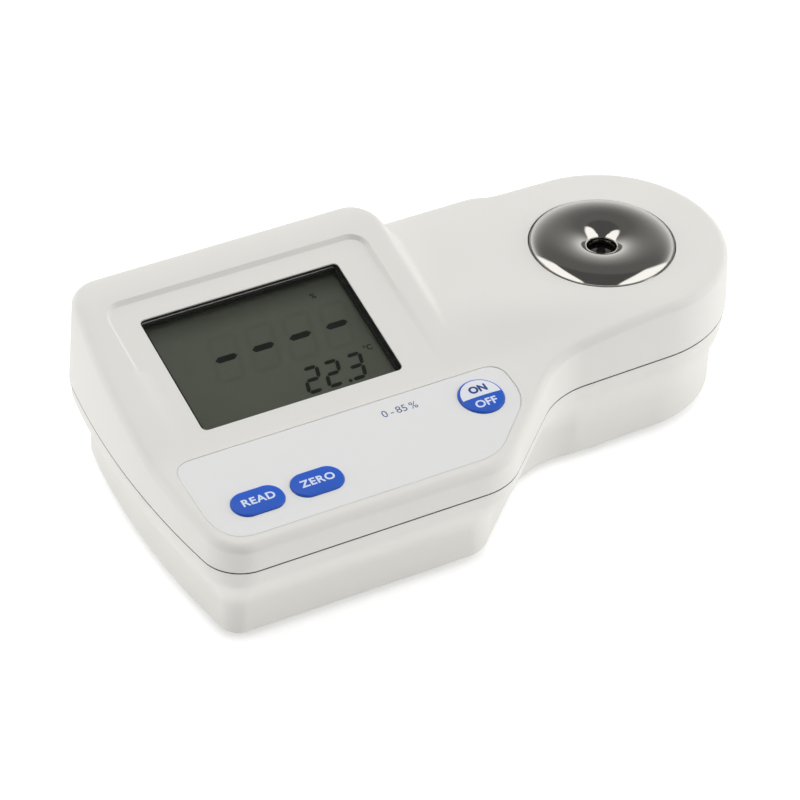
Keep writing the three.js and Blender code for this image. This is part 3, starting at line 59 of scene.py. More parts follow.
FULL_TURN = 2.0 * math.pi
QUARTER = math.pi / 2.0
ROUND_SIDES = 144
SHARP_EDGE = math.radians(32.0)
WHITE = (1.0, 1.0, 1.0, 1.0)
Array = np.ndarray
Pair = tuple[float, float]
Triple = tuple[float, float, float]
Surface = Callable[[Array, Array], Array]


class Body(Enum):
    """The moving bodies of the instrument."""

    CASE = "case"
    READ = "read_key"
    ZERO = "zero_key"
    POWER = "power_key"
    DOOR = "battery_door"


# Small tools for colours and nodes


def linear(code: str) -> tuple[float, float, float, float]:
    """Turn an sRGB colour into linear light.

    Args:
        code: a hash and six hexadecimal digits.

    Returns:
        Red, green, blue and an alpha of 1.
    """
    shares = [int(code[i : i + 2], 16) / 255.0 for i in (1, 3, 5)]
    red, green, blue = (c / 12.92 if c <= 0.04045 else ((c + 0.055) / 1.055) ** 2.4 for c in shares)
    return red, green, blue, 1.0


def add_node(
    tree: NodeTree, kind: str, inputs: dict[str | int, object] | None = None, **settings: object
) -> Node:
    """Add a node with its settings, values and links.

    Args:
        tree: the node tree to add it to.
        kind: the node's type.
        inputs: what feeds each input, by its name or number: a value, an output socket, or a node whose
            first output is meant.
        **settings: properties of the node.

    Returns:
        The new node.
    """
    node = tree.nodes.new(kind)
    for name, value in settings.items():
        setattr(node, name, value)
    for key, value in (inputs or {}).items():
        source = value.outputs[0] if isinstance(value, Node) else value
        if isinstance(source, NodeSocket):
            tree.links.new(source, node.inputs[key])
        else:
            node.inputs[key].default_value = value
    return node


def per_metre(size: float) -> float:
    """Scale of a pattern whose features are about this many millimetres apart."""
    return 1.0 / (size * MM)


def put(name: str, data: object) -> bpy.types.Object:
    """Put an object into the scene.

    Args:
        name: its name.
        data: what it holds, such as a mesh.

    Returns:
        The object.
    """
    made = bpy.data.objects.new(name, data)
    bpy.context.scene.collection.objects.link(made)
    return made


def evaluated(holder: bpy.types.Object) -> Mesh:
    """Take the plain mesh of an object and remove the object.

    Args:
        holder: the object.

    Returns:
        Its evaluated mesh.
    """
    graph = bpy.context.evaluated_depsgraph_get()
    mesh = bpy.data.meshes.new_from_object(holder.evaluated_get(graph), depsgraph=graph)
    for modifier in list(holder.modifiers):
        holder.modifiers.remove(modifier)
    bpy.data.objects.remove(holder)
    return mesh


# Finishes

# The phase of a wave texture grows by this many radians over one unit of its scale.
WAVE_PHASE = 20.0


@dataclass(frozen=True)
class Finish:
    """A surface as it leaves its maker.

    Attributes:
        name: the material and how it was made.
        colour: its main colour.
        drift: the colour that it drifts to in patches.
        patch: size of those patches.
        roughness: its mean roughness.
        spread: how far the roughness wanders either way.
        grain: size of the surface's grain, coarse enough to show, and zero where it is smooth.
        depth: depth of that grain.
        metallic: one for bare metal.
        coat: strength of a clear layer over it.
        ior: index of refraction, for what isn't metal.
        alpha: opacity.
    """

    name: str
    colour: str
    drift: str
    patch: float = 20.0
    roughness: float = 0.45
    spread: float = 0.04
    grain: float = 0.0
    depth: float = 0.0
    metallic: float = 0.0
    coat: float = 0.0
    ior: float = 1.5
    alpha: float = 1.0

    def tone(self, tree: NodeTree, place: NodeSocket) -> NodeSocket:
        """Colour of the surface, drifting in soft patches.

        Args:
            tree: the material's nodes.
            place: the object's coordinates.

        Returns:
            A colour socket.
        """
        patches = add_node(
            tree, "ShaderNodeTexNoise", {"Vector": place, "Scale": per_metre(self.patch), "Detail": 3.0}
        )
        mix = {0: patches, 6: linear(self.colour), 7: linear(self.drift)}
        return add_node(tree, "ShaderNodeMix", mix, data_type="RGBA").outputs[2]

    def relief(self, tree: NodeTree, place: NodeSocket) -> NodeSocket | None:
        """Fine relief of the surface.

        Args:
            tree: the material's nodes.
            place: the object's coordinates.

        Returns:
            A height, or None where the surface is smooth.
        """
        if not self.grain:
            return None
        grit = {"Vector": place, "Scale": per_metre(self.grain), "Detail": 4.0}
        return add_node(tree, "ShaderNodeTexNoise", grit).outputs["Fac"]

    def build(self) -> Material:
        """Make the material.

        Returns:
            The material, with its nodes.
        """
        material = bpy.data.materials.new(self.name)
        material.use_nodes = True
        tree = material.node_tree
        shader = tree.nodes["Principled BSDF"]
        place = add_node(tree, "ShaderNodeTexCoord").outputs["Object"]
        tree.links.new(self.tone(tree, place), shader.inputs["Base Color"])
        wander = add_node(
            tree, "ShaderNodeTexNoise", {"Vector": place, "Scale": per_metre(self.patch / 3.0), "Detail": 5.0}
        )
        low, high = max(self.roughness - self.spread, 0.0), self.roughness + self.spread
        rough = add_node(tree, "ShaderNodeMapRange", {"Value": wander, "To Min": low, "To Max": high})
        tree.links.new(rough.outputs["Result"], shader.inputs["Roughness"])
        height = self.relief(tree, place)
        if height is not None:
            bump = {"Height": height, "Distance": self.depth * MM, "Strength": 1.0}
            tree.links.new(add_node(tree, "ShaderNodeBump", bump).outputs["Normal"], shader.inputs["Normal"])
        shader.inputs["Metallic"].default_value = self.metallic
        shader.inputs["Coat Weight"].default_value = self.coat
        shader.inputs["Alpha"].default_value = self.alpha
        if not self.metallic:
            shader.inputs["IOR"].default_value = self.ior
        return material


@dataclass(frozen=True)
class TurnedFinish(Finish):
    """Metal that was turned on a lathe: fine rings run round its axis.

    Attributes:
        axis: the lathe's axis in plan, in the object's coordinates.
        pitch: distance between the rings, coarser than a lathe leaves them, so that they show.
    """

    axis: Pair = (0.0, 0.0)
    pitch: float = 2.5

    def relief(self, tree: NodeTree, place: NodeSocket) -> NodeSocket:
        """Rings about the axis.

        Args:
            tree: the material's nodes.
            place: the object's coordinates.

        Returns:
            Their height.
        """
        x, y = self.axis
        centred = add_node(tree, "ShaderNodeMapping", {"Vector": place, "Location": (-x * MM, -y * MM, 0.0)})
        rings = add_node(
            tree, "ShaderNodeTexWave",
            {"Vector": centred, "Scale": per_metre(self.pitch) * FULL_TURN / WAVE_PHASE, "Distortion": 0.4},
            wave_type="RINGS", rings_direction="Z",
        )
        return rings.outputs["Fac"]


@dataclass(frozen=True)
class DisplayFinish(Finish):
    """Unlit liquid crystal glass, darker towards the back where the window's wall shades it.

    Attributes:
        dark: colour at the back edge.
        low: where the shade starts, across the case.
        high: where it is full.
    """

    dark: str = "#1c1d19"
    low: float = 0.0
    high: float = 1.0

    def tone(self, tree: NodeTree, place: NodeSocket) -> NodeSocket:
        """Olive glass with a soft dark band along the back.

        Args:
            tree: the material's nodes.
            place: the object's coordinates.

        Returns:
            The colour.
        """
        base = super().tone(tree, place)
        parts = add_node(tree, "ShaderNodeSeparateXYZ", {"Vector": place})
        band = add_node(
            tree, "ShaderNodeMapRange",
            {"Value": parts.outputs["Y"], "From Min": self.low * MM, "From Max": self.high * MM},
            interpolation_type="SMOOTHSTEP",
        )
        mix = {0: band, 6: base, 7: linear(self.dark)}
        return add_node(tree, "ShaderNodeMix", mix, data_type="RGBA").outputs[2]


# ABS is injection moulded against a spark-eroded tool, which leaves a fine even grain.
MOULDED_ABS = Finish(
    "moulded_abs_white", "#e6e4df", "#e3e2dd", patch=45.0, roughness=0.42, spread=0.03, grain=0.55,
    depth=0.006,
)
# Polyester film is printed on its back, so its face keeps one even sheen.
PRINTED_FILM = Finish(
    "printed_polyester_film", "#e7e7e6", "#e5e5e5", patch=60.0, roughness=0.36, spread=0.02, grain=0.35,
    depth=0.003,
)
# The caps are moulded in blue against a finely blasted tool, and show a soft gloss.
KEY_BLUE = Finish(
    "moulded_key_blue", "#0a58cc", "#0c54c2", patch=9.0, roughness=0.4, spread=0.05, grain=0.5, depth=0.004
)
# Ink is screen printed in one thin layer, which dries to a flat, matt tone.
LEGEND_WHITE = Finish("printed_legend_white", "#d8e2f6", "#d2ddf3", patch=2.0, roughness=0.5)
FIELD_WHITE = Finish("printed_field_white", "#e4e7ec", "#e1e4ea", patch=4.0, roughness=0.45)
LEGEND_BLUE = Finish("printed_legend_blue", "#536c9f", "#4c6597", patch=2.0, roughness=0.5)
LEGEND_NAVY = Finish("printed_legend_navy", "#1d468f", "#1a4088", patch=2.0, roughness=0.5)
# Stainless steel is turned and then polished, so it mirrors the room with faint rings.
WELL_STEEL = TurnedFinish(
    "turned_stainless_steel", "#d4d3d0", "#c9c8c4", patch=14.0, roughness=0.075, spread=0.02,
    depth=0.0008, metallic=1.0, axis=WELL_AT, pitch=2.513,
)
# Spring steel is stamped from bright rolled strip, which stays smooth.
SPRING_STEEL = Finish("stamped_spring_steel", "#c3c5c8", "#b2b4b8", patch=3.0, roughness=0.25, metallic=1.0)
# Screws are zinc plated in a barrel, so their grey gloss is uneven and lightly pitted.
ZINC_STEEL = Finish(
    "zinc_plated_steel", "#b4b7bb", "#9fa3a9", patch=1.5, roughness=0.32, spread=0.08, grain=0.3, depth=0.01,
    metallic=1.0,
)
# Aluminium is evaporated on the front of flat glass, and gives a sharp image.
MIRROR = Finish(
    "front_coated_mirror", "#dcdddf", "#d5d6d9", patch=4.0, roughness=0.04, spread=0.01, metallic=1.0
)
# Moulded rubber has a dull, slightly dusty skin.
RUBBER = Finish(
    "moulded_rubber_black", "#232426", "#2e2f31", patch=4.0, roughness=0.8, spread=0.08, grain=0.3, depth=0.02
)
# Extruded rubber comes out with a fine drag and hardly any shine.
SEAL = Finish("extruded_seal_rubber", "#16140f", "#1d1a14", patch=6.0, roughness=0.9, grain=0.25, depth=0.01)
# Polycarbonate is moulded black with a matt grain, so no stray light comes off it.
BLACK_MOULDING = Finish(
    "moulded_polycarbonate_black", "#151516", "#1d1d1e", patch=8.0, roughness=0.5, grain=0.4, depth=0.008
)
# Acrylic is cut from cast sheet, so both faces are clear and flat.
WINDOW_ACRYLIC = Finish(
    "cast_acrylic_window", "#20241f", "#242822", patch=30.0, roughness=0.08, spread=0.03, alpha=0.14, ior=1.49
)
# Clear resin is moulded against polished steel, and looks like slightly milky glass.
OPTICAL_CLEAR = Finish(
    "moulded_clear_lens", "#e8eeee", "#e0e8e8", patch=3.0, roughness=0.06, alpha=0.4, ior=1.52
)
# Flint glass is ground and polished. From above one looks through it into the dark block below.
PRISM_GLASS = Finish("polished_flint_glass", "#101010", "#151513", patch=6.0, roughness=0.05, spread=0.02)
# Crystal glass carries an olive polariser over its reflector, and its drive makes the marks nearly black.
DISPLAY_GLASS = DisplayFinish(
    "liquid_crystal_glass", "#6b6f61", "#65695c", patch=26.0, roughness=0.3, spread=0.04, ior=1.52,
    dark="#44463b", low=22.0, high=32.0,
)
DISPLAY_GHOST = Finish("unlit_crystal_segment", "#686c5e", "#62665a", patch=8.0, roughness=0.35)
DISPLAY_MARK = Finish("dark_crystal_segment", "#0c1110", "#121614", patch=3.0, roughness=0.4)
# Solder mask is a green lacquer over the weave of the board, which shows through as a low grain.
SOLDER_MASK = Finish(
    "solder_mask_green", "#1c6a42", "#226f49", patch=5.0, roughness=0.4, grain=0.6, depth=0.01, coat=0.2
)
# Polyimide film is cast smooth and amber, over flat copper.
CABLE_FILM = Finish("polyimide_cable_film", "#b06a22", "#9c5b1b", patch=4.0, roughness=0.3)
# Wire sleeves are drawn from soft vinyl with a satin skin.
RED_SLEEVE = Finish("wire_sleeve_red", "#b3261e", "#a2211a", patch=2.0, roughness=0.5)
BLACK_SLEEVE = Finish("wire_sleeve_black", "#1b1b1c", "#222223", patch=2.0, roughness=0.5)
# The battery's steel jacket is lacquered, so a clear coat lies over the dark tone.
BATTERY_JACKET = Finish("lacquered_battery_jacket", "#26272b", "#303136", patch=7.0, roughness=0.35, coat=0.3)
# The studio has a floor of matt paper, and cloth that takes all light.
FLOOR_PAPER = Finish("seamless_paper", "#f4f4f4", "#f1f1f1", patch=300.0, roughness=0.9)
CANOPY_CLOTH = Finish("dark_canopy_cloth", "#060606", "#080808", patch=400.0, roughness=0.9)

NODE_FINISHES: dict[Finish, tuple[str, ...]] = {
    SEAL: ("well_o_ring", "prism_seal", "cover_o_ring"),
    RUBBER: ("contact_strip_front", "contact_strip_back", "battery_snap"),
    WINDOW_ACRYLIC: ("display_window",),
    OPTICAL_CLEAR: ("lamp", "lens"),
    DISPLAY_GLASS: ("lcd_glass",),
    BLACK_MOULDING: ("window_gasket", "lcd_frame", "optical_block", "optics_cover", "image_sensor"),
    SPRING_STEEL: ("dome_read", "dome_zero", "dome_on_off", "temperature_sensor"),
    MIRROR: ("mirror",),
    PRISM_GLASS: ("prism",),
    SOLDER_MASK: ("main_board", "keypad_board", "lamp_board", "sensor_board"),
    CABLE_FILM: ("sensor_ribbon", "keypad_ribbon"),
    BATTERY_JACKET: ("battery",),
    RED_SLEEVE: ("battery_lead_red",),
    BLACK_SLEEVE: ("battery_lead_black",),
    ZINC_STEEL: (
        *(f"board_screw_{i}" for i in range(1, 5)), "keypad_screw_1", "keypad_screw_2", "optics_screw_1",
        "optics_screw_2",
    ),
}


class Workshop:
    """Makes each material once and turns drafts into finished pieces."""

    def __init__(self) -> None:
        """Start with no materials."""
        self.materials: dict[Finish, Material] = {}

    def material(self, finish: Finish) -> Material:
        """The material of a finish, made the first time that it is asked for."""
        if finish not in self.materials:
            self.materials[finish] = finish.build()
        return self.materials[finish]

    def dress(self, node: str, finish: Finish) -> None:
        """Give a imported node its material."""
        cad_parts[node].material_slots[0].material = self.material(finish)

    def piece(
        self, name: str, draft: "Draft", finish: Finish, body: Body, replaced: Iterable[str] = (),
        place: Matrix | None = None, slot: str | None = None,
    ) -> None:
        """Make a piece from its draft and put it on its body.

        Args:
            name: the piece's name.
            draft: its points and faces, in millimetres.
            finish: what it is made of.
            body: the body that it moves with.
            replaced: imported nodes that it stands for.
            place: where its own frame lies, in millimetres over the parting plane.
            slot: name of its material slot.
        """
        mesh = draft.mesh(name, place or Matrix.Identity(4))
        mesh.materials.append(self.material(finish))
        self.settle(name, mesh, body, replaced, slot)

    def settle(self, name: str, mesh: Mesh, body: Body, replaced: Iterable[str], slot: str | None) -> None:
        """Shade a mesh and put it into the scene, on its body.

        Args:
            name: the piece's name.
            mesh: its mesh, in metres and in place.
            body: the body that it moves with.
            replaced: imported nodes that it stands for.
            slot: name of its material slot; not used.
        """
        mesh.shade_smooth()
        mesh.set_sharp_from_angle(angle=SHARP_EDGE)
        made = put(name, mesh)
        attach(made, body.value)
        names = tuple(replaced)
        if names:
            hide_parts(*names)
        LOG.info("%s: %d faces on %s", name, len(mesh.polygons), body.value)


# Drafts of meshes


@dataclass
class Draft:
    """Points and faces of a mesh in the making, in millimetres, with the weld's reach in metres."""

    points: list[Triple] = field(default_factory=list)
    faces: list[tuple[int, ...]] = field(default_factory=list)
    weld: float = 2e-6

    def ring(self, plan: Array, height: Array | float) -> list[int]:
        """Add a row of points.

        Args:
            plan: X and Y of each point.
            height: Z of each, or of all.

        Returns:
            Their numbers.
        """
        first = len(self.points)
        levels = np.broadcast_to(np.asarray(height, float), len(plan))
        self.points.extend((float(x), float(y), float(z)) for (x, y), z in zip(plan, levels))
        return list(range(first, len(self.points)))

    def bridge(self, low: Sequence[int], high: Sequence[int]) -> None:
        """Join two closed rows of the same count with a band of faces.

        Args:
            low: points of the first row.
            high: points of the second.
        """
        count = len(low)
        for i in range(count):
            after = (i + 1) % count
            self.faces.append((low[i], low[after], high[after], high[i]))

    def tower(self, rows: Sequence[Sequence[int]]) -> None:
        """Join each row to the next."""
        for low, high in zip(rows, rows[1:]):
            self.bridge(low, high)

    def lid(self, row: Sequence[int]) -> None:
        """Close a row with one face."""
        self.faces.append(tuple(row))

    def lay(self, sheet: "Sheet", height: Array | float) -> list[list[int]]:
        """Lay a sheet at one height, or at one for each of its points.

        Args:
            sheet: the sheet.
            height: the height.

        Returns:
            The points of each of its loops.
        """
        numbers = self.ring(sheet.plan, height)
        self.faces.extend(tuple(numbers[i] for i in face) for face in sheet.faces)
        return [[numbers[i] for i in loop] for loop in sheet.loops]

    def snap(self, row: Sequence[int], onto: Sequence[int]) -> None:
        """Move each point of a row onto its partner in another."""
        for number, partner in zip(row, onto):
            self.points[number] = self.points[partner]

    def block(self, plan: Array, low: float, high: float) -> None:
        """Add a closed block.

        Args:
            plan: its outline.
            low: its lower height.
            high: its upper height.
        """
        rows = [self.ring(plan, level) for level in (low, high)]
        self.tower(rows)
        self.lid(rows[0])
        self.lid(rows[1])

    def mesh(self, name: str, place: Matrix) -> Mesh:
        """Turn the draft into a closed mesh that faces outwards, in metres.

        Args:
            name: the mesh's name.
            place: where the draft's own frame lies over the parting plane.

        Returns:
            The mesh.
        """
        lift = Matrix.Scale(MM, 4) @ Matrix.Translation((0.0, 0.0, PARTING)) @ place
        mesh = bpy.data.meshes.new(name)
        mesh.from_pydata([lift @ Vector(p) for p in self.points], [], self.faces)
        work = bmesh.new()
        work.from_mesh(mesh)
        bmesh.ops.remove_doubles(work, verts=work.verts, dist=self.weld)
        bmesh.ops.dissolve_degenerate(work, edges=work.edges, dist=self.weld / 2.0)
        bmesh.ops.recalc_face_normals(work, faces=work.faces)
        work.to_mesh(mesh)
        work.free()
        return mesh


def oblong(left: float, right: float, front: float, back: float) -> list[Pair]:
    """Corners of a rectangle in plan, counter-clockwise."""
    return [(left, front), (right, front), (right, back), (left, back)]


def circle(radius: float, centre: Sequence[float], count: int) -> Array:
    """Points round a circle in plan."""
    turn = np.linspace(0.0, FULL_TURN, count, endpoint=False)
    return np.column_stack([centre[0] + radius * np.cos(turn), centre[1] + radius * np.sin(turn)])


def rounded(points: Sequence[Sequence[float]], radii: Sequence[float], spacing: float) -> Array:
    """Round the corners of a closed line and space points evenly along it.

    Args:
        points: its corners, counter-clockwise.
        radii: the radius at each corner.
        spacing: distance between points.

    Returns:
        The points in plan.
    """
    corners = [np.asarray(p, float) for p in points]
    path: list[Array] = []
    for i, at in enumerate(corners):
        before, after = corners[i - 1], corners[(i + 1) % len(corners)]
        u = (before - at) / np.linalg.norm(before - at)
        v = (after - at) / np.linalg.norm(after - at)
        half = math.acos(max(-1.0, min(1.0, float(u @ v)))) / 2.0
        back = radii[i] / math.tan(half)
        start, end = at + u * back, at + v * back
        centre = at + (u + v) / np.linalg.norm(u + v) * radii[i] / math.sin(half)
        first = math.atan2(*(start - centre)[::-1])
        sweep = (math.atan2(*(end - centre)[::-1]) - first + math.pi) % FULL_TURN - math.pi
        steps = max(3, int(abs(sweep) * radii[i] / (spacing * 0.6)))
        for k in range(steps + 1):
            turn = first + sweep * k / steps
            path.append(centre + radii[i] * np.array([math.cos(turn), math.sin(turn)]))
    return evened(np.array(path), spacing)


def evened(path: Array, spacing: float) -> Array:
    """Add points where a closed line's own are further apart than the spacing.

    Args:
        path: the line's points.
        spacing: the largest distance that is left.

    Returns:
        The line's points with the added ones.
    """
    out: list[Array] = []
    for here, after in zip(path, np.roll(path, -1, axis=0)):
        reach = float(np.linalg.norm(after - here))
        if reach < 1e-6:
            continue
        steps = max(1, math.ceil(reach / spacing))
        out.extend(here + (after - here) * k / steps for k in range(steps))
    return np.array(out)


def grown(loop: Array, distance: float) -> Array:
    """Move a loop outwards, point by point.

    Args:
        loop: its points, counter-clockwise.
        distance: how far; inwards where it is negative.

    Returns:
        The moved points.
    """
    along = np.roll(loop, -1, axis=0) - np.roll(loop, 1, axis=0)
    along /= np.linalg.norm(along, axis=1, keepdims=True)
    return loop + np.column_stack([along[:, 1], -along[:, 0]]) * distance


def inside(loop: Array, points: Array) -> Array:
    """Tell which points lie inside a closed line.

    Args:
        loop: the line's points.
        points: what to test.

    Returns:
        True for each point inside.
    """
    x, y = points[:, 0], points[:, 1]
    within = np.zeros(len(points), bool)
    for (x0, y0), (x1, y1) in zip(loop, np.roll(loop, -1, axis=0)):
        if y0 != y1:
            within ^= ((y0 > y) != (y1 > y)) & (x < (x1 - x0) * (y - y0) / (y1 - y0) + x0)
    return within


@dataclass(frozen=True)
class Band:
    """A part of the plan that gets a finer grid."""

    x: Pair
    y: Pair
    step: Pair

    def grid(self) -> Array:
        """Lay the band's grid.

        Returns:
            Its points.
        """
        across = np.arange(self.x[0], self.x[1], self.step[0])
        along = np.arange(self.y[0], self.y[1], self.step[1])
        return np.array(np.meshgrid(across, along)).reshape(2, -1).T

    def holds(self, points: Array) -> Array:
        """True for each point inside the band."""
        x, y = points[:, 0], points[:, 1]
        return (x > self.x[0]) & (x < self.x[1]) & (y > self.y[0]) & (y < self.y[1])


@dataclass
class Sheet:
    """A triangulated area of the plan, whose loops stay edges and whose grid keeps clear of them."""

    plan: Array
    faces: list[tuple[int, int, int]]
    loops: list[list[int]]
    clear: ClassVar[float] = 0.75

    @classmethod
    def fill(
        cls, loops: Sequence[Array], holes: Sequence[int], step: float, bands: Sequence[Band] = ()
    ) -> "Sheet":
        """Triangulate the first loop's inside.

        Args:
            loops: closed lines; the first one bounds the area.
            holes: numbers of the loops that are left open.
            step: spacing of the grid.
            bands: places with a finer grid.

        Returns:
            The sheet.
        """
        edge = np.concatenate(loops)
        links: list[tuple[int, int]] = []
        start = 0
        for loop in loops:
            links.extend((start + i, start + (i + 1) % len(loop)) for i in range(len(loop)))
            start += len(loop)
        low, high = loops[0].min(axis=0), loops[0].max(axis=0)
        coarse = Band((low[0], high[0]), (low[1], high[1]), (step, step)).grid()
        for band in bands:
            coarse = coarse[~band.holds(coarse)]
        spots = np.concatenate([coarse, *[band.grid() for band in bands]])
        spots = spots[inside(loops[0], spots)]
        tree = KDTree(len(edge))
        for i, (x, y) in enumerate(edge):
            tree.insert((x, y, 0.0), i)
        tree.balance()
        keep = [tree.find((x, y, 0.0))[2] > cls.clear for x, y in spots]
        spots = spots[np.array(keep, bool)]
        given = [Vector((float(x), float(y))) for x, y in np.concatenate([edge, spots])]
        points, _, faces, origins, _, _ = delaunay_2d_cdt(given, links, [], 0, 1e-5)
        plan = np.array([(p.x, p.y) for p in points])
        middle = np.array([plan[list(face)].mean(axis=0) for face in faces])
        kept = inside(loops[0], middle)
        for number in holes:
            kept &= ~inside(loops[number], middle)
        where = {number: i for i, given_ones in enumerate(origins) for number in given_ones}
        ends = np.cumsum([len(loop) for loop in loops])
        numbers = [[where[end - len(loop) + i] for i in range(len(loop))] for loop, end in zip(loops, ends)]
        return cls(plan, [tuple(face) for face, wanted in zip(faces, kept) if wanted], numbers)

    def sunk(self, loop: Array, edge: int, bed: int) -> Array:
        """Tell which points lie on the bed of a recess.

        Args:
            loop: the recess's edge in plan.
            edge: number of the loop that is this edge.
            bed: number of the loop round the bed.

        Returns:
            True for each point on the bed.
        """
        within = inside(loop, self.plan)
        within[self.loops[edge]] = False
        within[self.loops[bed]] = True
        return within


def smooth_max(a: Array, b: Array | float, width: Array | float) -> Array:
    """The higher of two heights, with a soft fillet between them."""
    share = np.clip(0.5 + 0.5 * (a - b) / width, 0.0, 1.0)
    return b + (a - b) * share + width * share * (1.0 - share)


def smooth_min(a: Array, b: Array | float, width: Array | float) -> Array:
    """The lower of two heights, with a soft round between them."""
    return -smooth_max(-a, -np.asarray(b, float), width)


# The case


@dataclass(frozen=True)
class Outline:
    """The case's plan at the parting plane, counter-clockwise."""

    points: Array
    normals: Array
    taper: Array

    def inset(self, distance: Array | float) -> Array:
        """The outline moved inwards by a distance, the same for all points or one for each."""
        return self.points + self.normals * np.asarray(distance, float).reshape(-1, 1)


@dataclass(frozen=True)
class CasePlan:
    """Plan of the case: a bowed left end, a chamfered shoulder, a neck and a round nose."""

    half_length: float = 96.0
    half_width: float = 51.0
    bow: float = 5.0
    corner: float = 11.5
    front_length: float = 89.36
    shoulder_run: float = 30.45
    shoulder_radius: float = 18.0
    neck_radius: float = 25.0
    nose_radius: float = 35.24
    nose_y: float = 13.42
    nose_lean: float = 0.023
    step_at: float = 40.0
    step_length: float = 8.0
    step_points: int = 12
    spacing: float = 1.3
    merged: float = 0.02
    taper_left: float = 5.6
    taper_front: float = 6.3
    taper_shoulder: float = 7.3
    taper_side: float = 2.9
    taper_nose: float = 3.5
    taper_back: float = 5.0

    @property
    def nose(self) -> Pair:
        """Centre of the round nose."""
        return self.half_length - self.nose_radius, self.nose_y

    def bowed(self, y: float) -> float:
        """Where the bowed left end lies at a place across the case."""
        return self.bow * (y / self.half_width) ** 2 - self.half_length

    def slope(self, y: float) -> float:
        """How steeply the bowed left end leans there."""
        return 2.0 * self.bow * y / self.half_width**2

    def arc(
        self, centre: Sequence[float], radius: float, first: float, last: float, tapers: Sequence[float]
    ) -> list[tuple[float, ...]]:
        """Points on an arc, with their directions and tapers.

        Args:
            centre: the arc's centre.
            radius: its radius.
            first: angle where it starts.
            last: angle where it ends; lower than the first on a concave arc.
            tapers: the taper at each end.

        Returns:
            X, Y, direction and taper of each point.
        """
        side = 1.0 if last > first else -1.0
        steps = max(8, math.ceil(abs(last - first) * radius / (self.spacing * 0.8)))
        rows = []
        for k in range(steps + 1):
            share = k / steps
            turn = first + (last - first) * share
            rows.append((
                centre[0] + radius * math.cos(turn), centre[1] + radius * math.sin(turn),
                -side * math.sin(turn), side * math.cos(turn), tapers[0] + (tapers[1] - tapers[0]) * share,
            ))
        return rows

    def fillet(
        self, at: Sequence[float], before: float, after: float, radius: float, tapers: Sequence[float]
    ) -> list[tuple[float, ...]]:
        """Round one corner between two headings.

        Args:
            at: the corner.
            before: heading towards it, in radians.
            after: heading away from it.
            radius: the round's radius.
            tapers: the walls' taper before and after it.

        Returns:
            The round's points.
        """
        side = 1.0 if after > before else -1.0
        back = radius * math.tan(abs(after - before) / 2.0)
        x = at[0] - math.cos(before) * back - math.sin(before) * radius * side
        y = at[1] - math.sin(before) * back + math.cos(before) * radius * side
        return self.arc((x, y), radius, before - QUARTER * side, after - QUARTER * side, tapers)

    def outline(self) -> Outline:
        """Trace the whole plan.

        Returns:
            The outline, with a point at least every so often.
        """
        reach = self.half_width - self.corner
        end = reach
        for _ in range(4):
            end = self.half_width - self.corner * (1.0 - math.sin(math.atan(self.slope(end))))
        lean = math.atan(self.slope(end))
        left = []
        for y in np.linspace(end, -end, 2 * math.ceil(end / self.spacing))[1:-1]:
            slope = self.slope(y)
            length = math.hypot(slope, 1.0)
            left.append((self.bowed(y), y, -slope / length, -1.0 / length, self.taper_left))
        corner_x = self.bowed(end) + self.corner * math.cos(lean)
        front_left = self.arc(
            (corner_x, -reach), self.corner, math.pi + lean, math.pi * 1.5,
            (self.taper_left, self.taper_front),
        )
        back_left = self.arc(
            (corner_x, reach), self.corner, QUARTER, math.pi - lean, (self.taper_back, self.taper_left)
        )
        nose_x, nose_y = self.nose
        tilt = math.atan(self.nose_lean)
        foot = (self.front_length - self.half_length, -self.half_width)
        neck_x = foot[0] + self.shoulder_run
        neck = (neck_x, nose_y - self.nose_radius + (neck_x - nose_x) * self.nose_lean)
        rise = math.atan2(neck[1] - foot[1], neck[0] - foot[0])
        shoulder = self.fillet(foot, 0.0, rise, self.shoulder_radius, (self.taper_front, self.taper_shoulder))
        hollow = self.fillet(neck, rise, tilt, self.neck_radius, (self.taper_shoulder, self.taper_side))
        nose = []
        around = self.arc(self.nose, self.nose_radius, tilt - QUARTER, QUARTER - tilt, (0.0, 0.0))
        for x, y, dx, dy, _ in around:
            share = max(0.0, (x - nose_x) / self.nose_radius)
            nose.append((x, y, dx, dy, self.taper_side + (self.taper_nose - self.taper_side) * share))
        start = self.step_at + self.step_length / 2.0
        low = nose_y + self.nose_radius + (nose_x - start) * self.nose_lean
        climb = self.half_width - low
        step = []
        for k in range(self.step_points + 1):
            share = k / self.step_points
            grade = QUARTER * math.sin(math.pi * share) * climb / self.step_length
            length = math.hypot(1.0, grade)
            step.append((
                start - self.step_length * share, low + climb * (1.0 - math.cos(math.pi * share)) / 2.0,
                -1.0 / length, grade / length, self.taper_side + (self.taper_back - self.taper_side) * share,
            ))
        data = np.array(self.joined([left, front_left, shoulder, hollow, nose, step, back_left]))
        return Outline(data[:, :2], np.column_stack([-data[:, 3], data[:, 2]]), data[:, 4])

    def joined(self, parts: Sequence[Sequence[tuple[float, ...]]]) -> list[tuple[float, ...]]:
        """String the parts together, with straight runs of points between them.

        Args:
            parts: points with their directions and tapers, one list for each part.

        Returns:
            The whole line's points.
        """
        rows: list[tuple[float, ...]] = []
        for part, after in zip(parts, [*parts[1:], parts[0]]):
            rows.extend(part)
            here, there = np.array(part[-1]), np.array(after[0])
            reach = float(np.linalg.norm(there[:2] - here[:2]))
            steps = math.ceil(reach / self.spacing)
            for k in range(1, steps):
                mixed = here + (there - here) * k / steps
                mixed[2:4] = (there[:2] - here[:2]) / reach
                rows.append(tuple(mixed))
        return [row for i, row in enumerate(rows) if math.dist(row[:2], rows[i - 1][:2]) > self.merged]


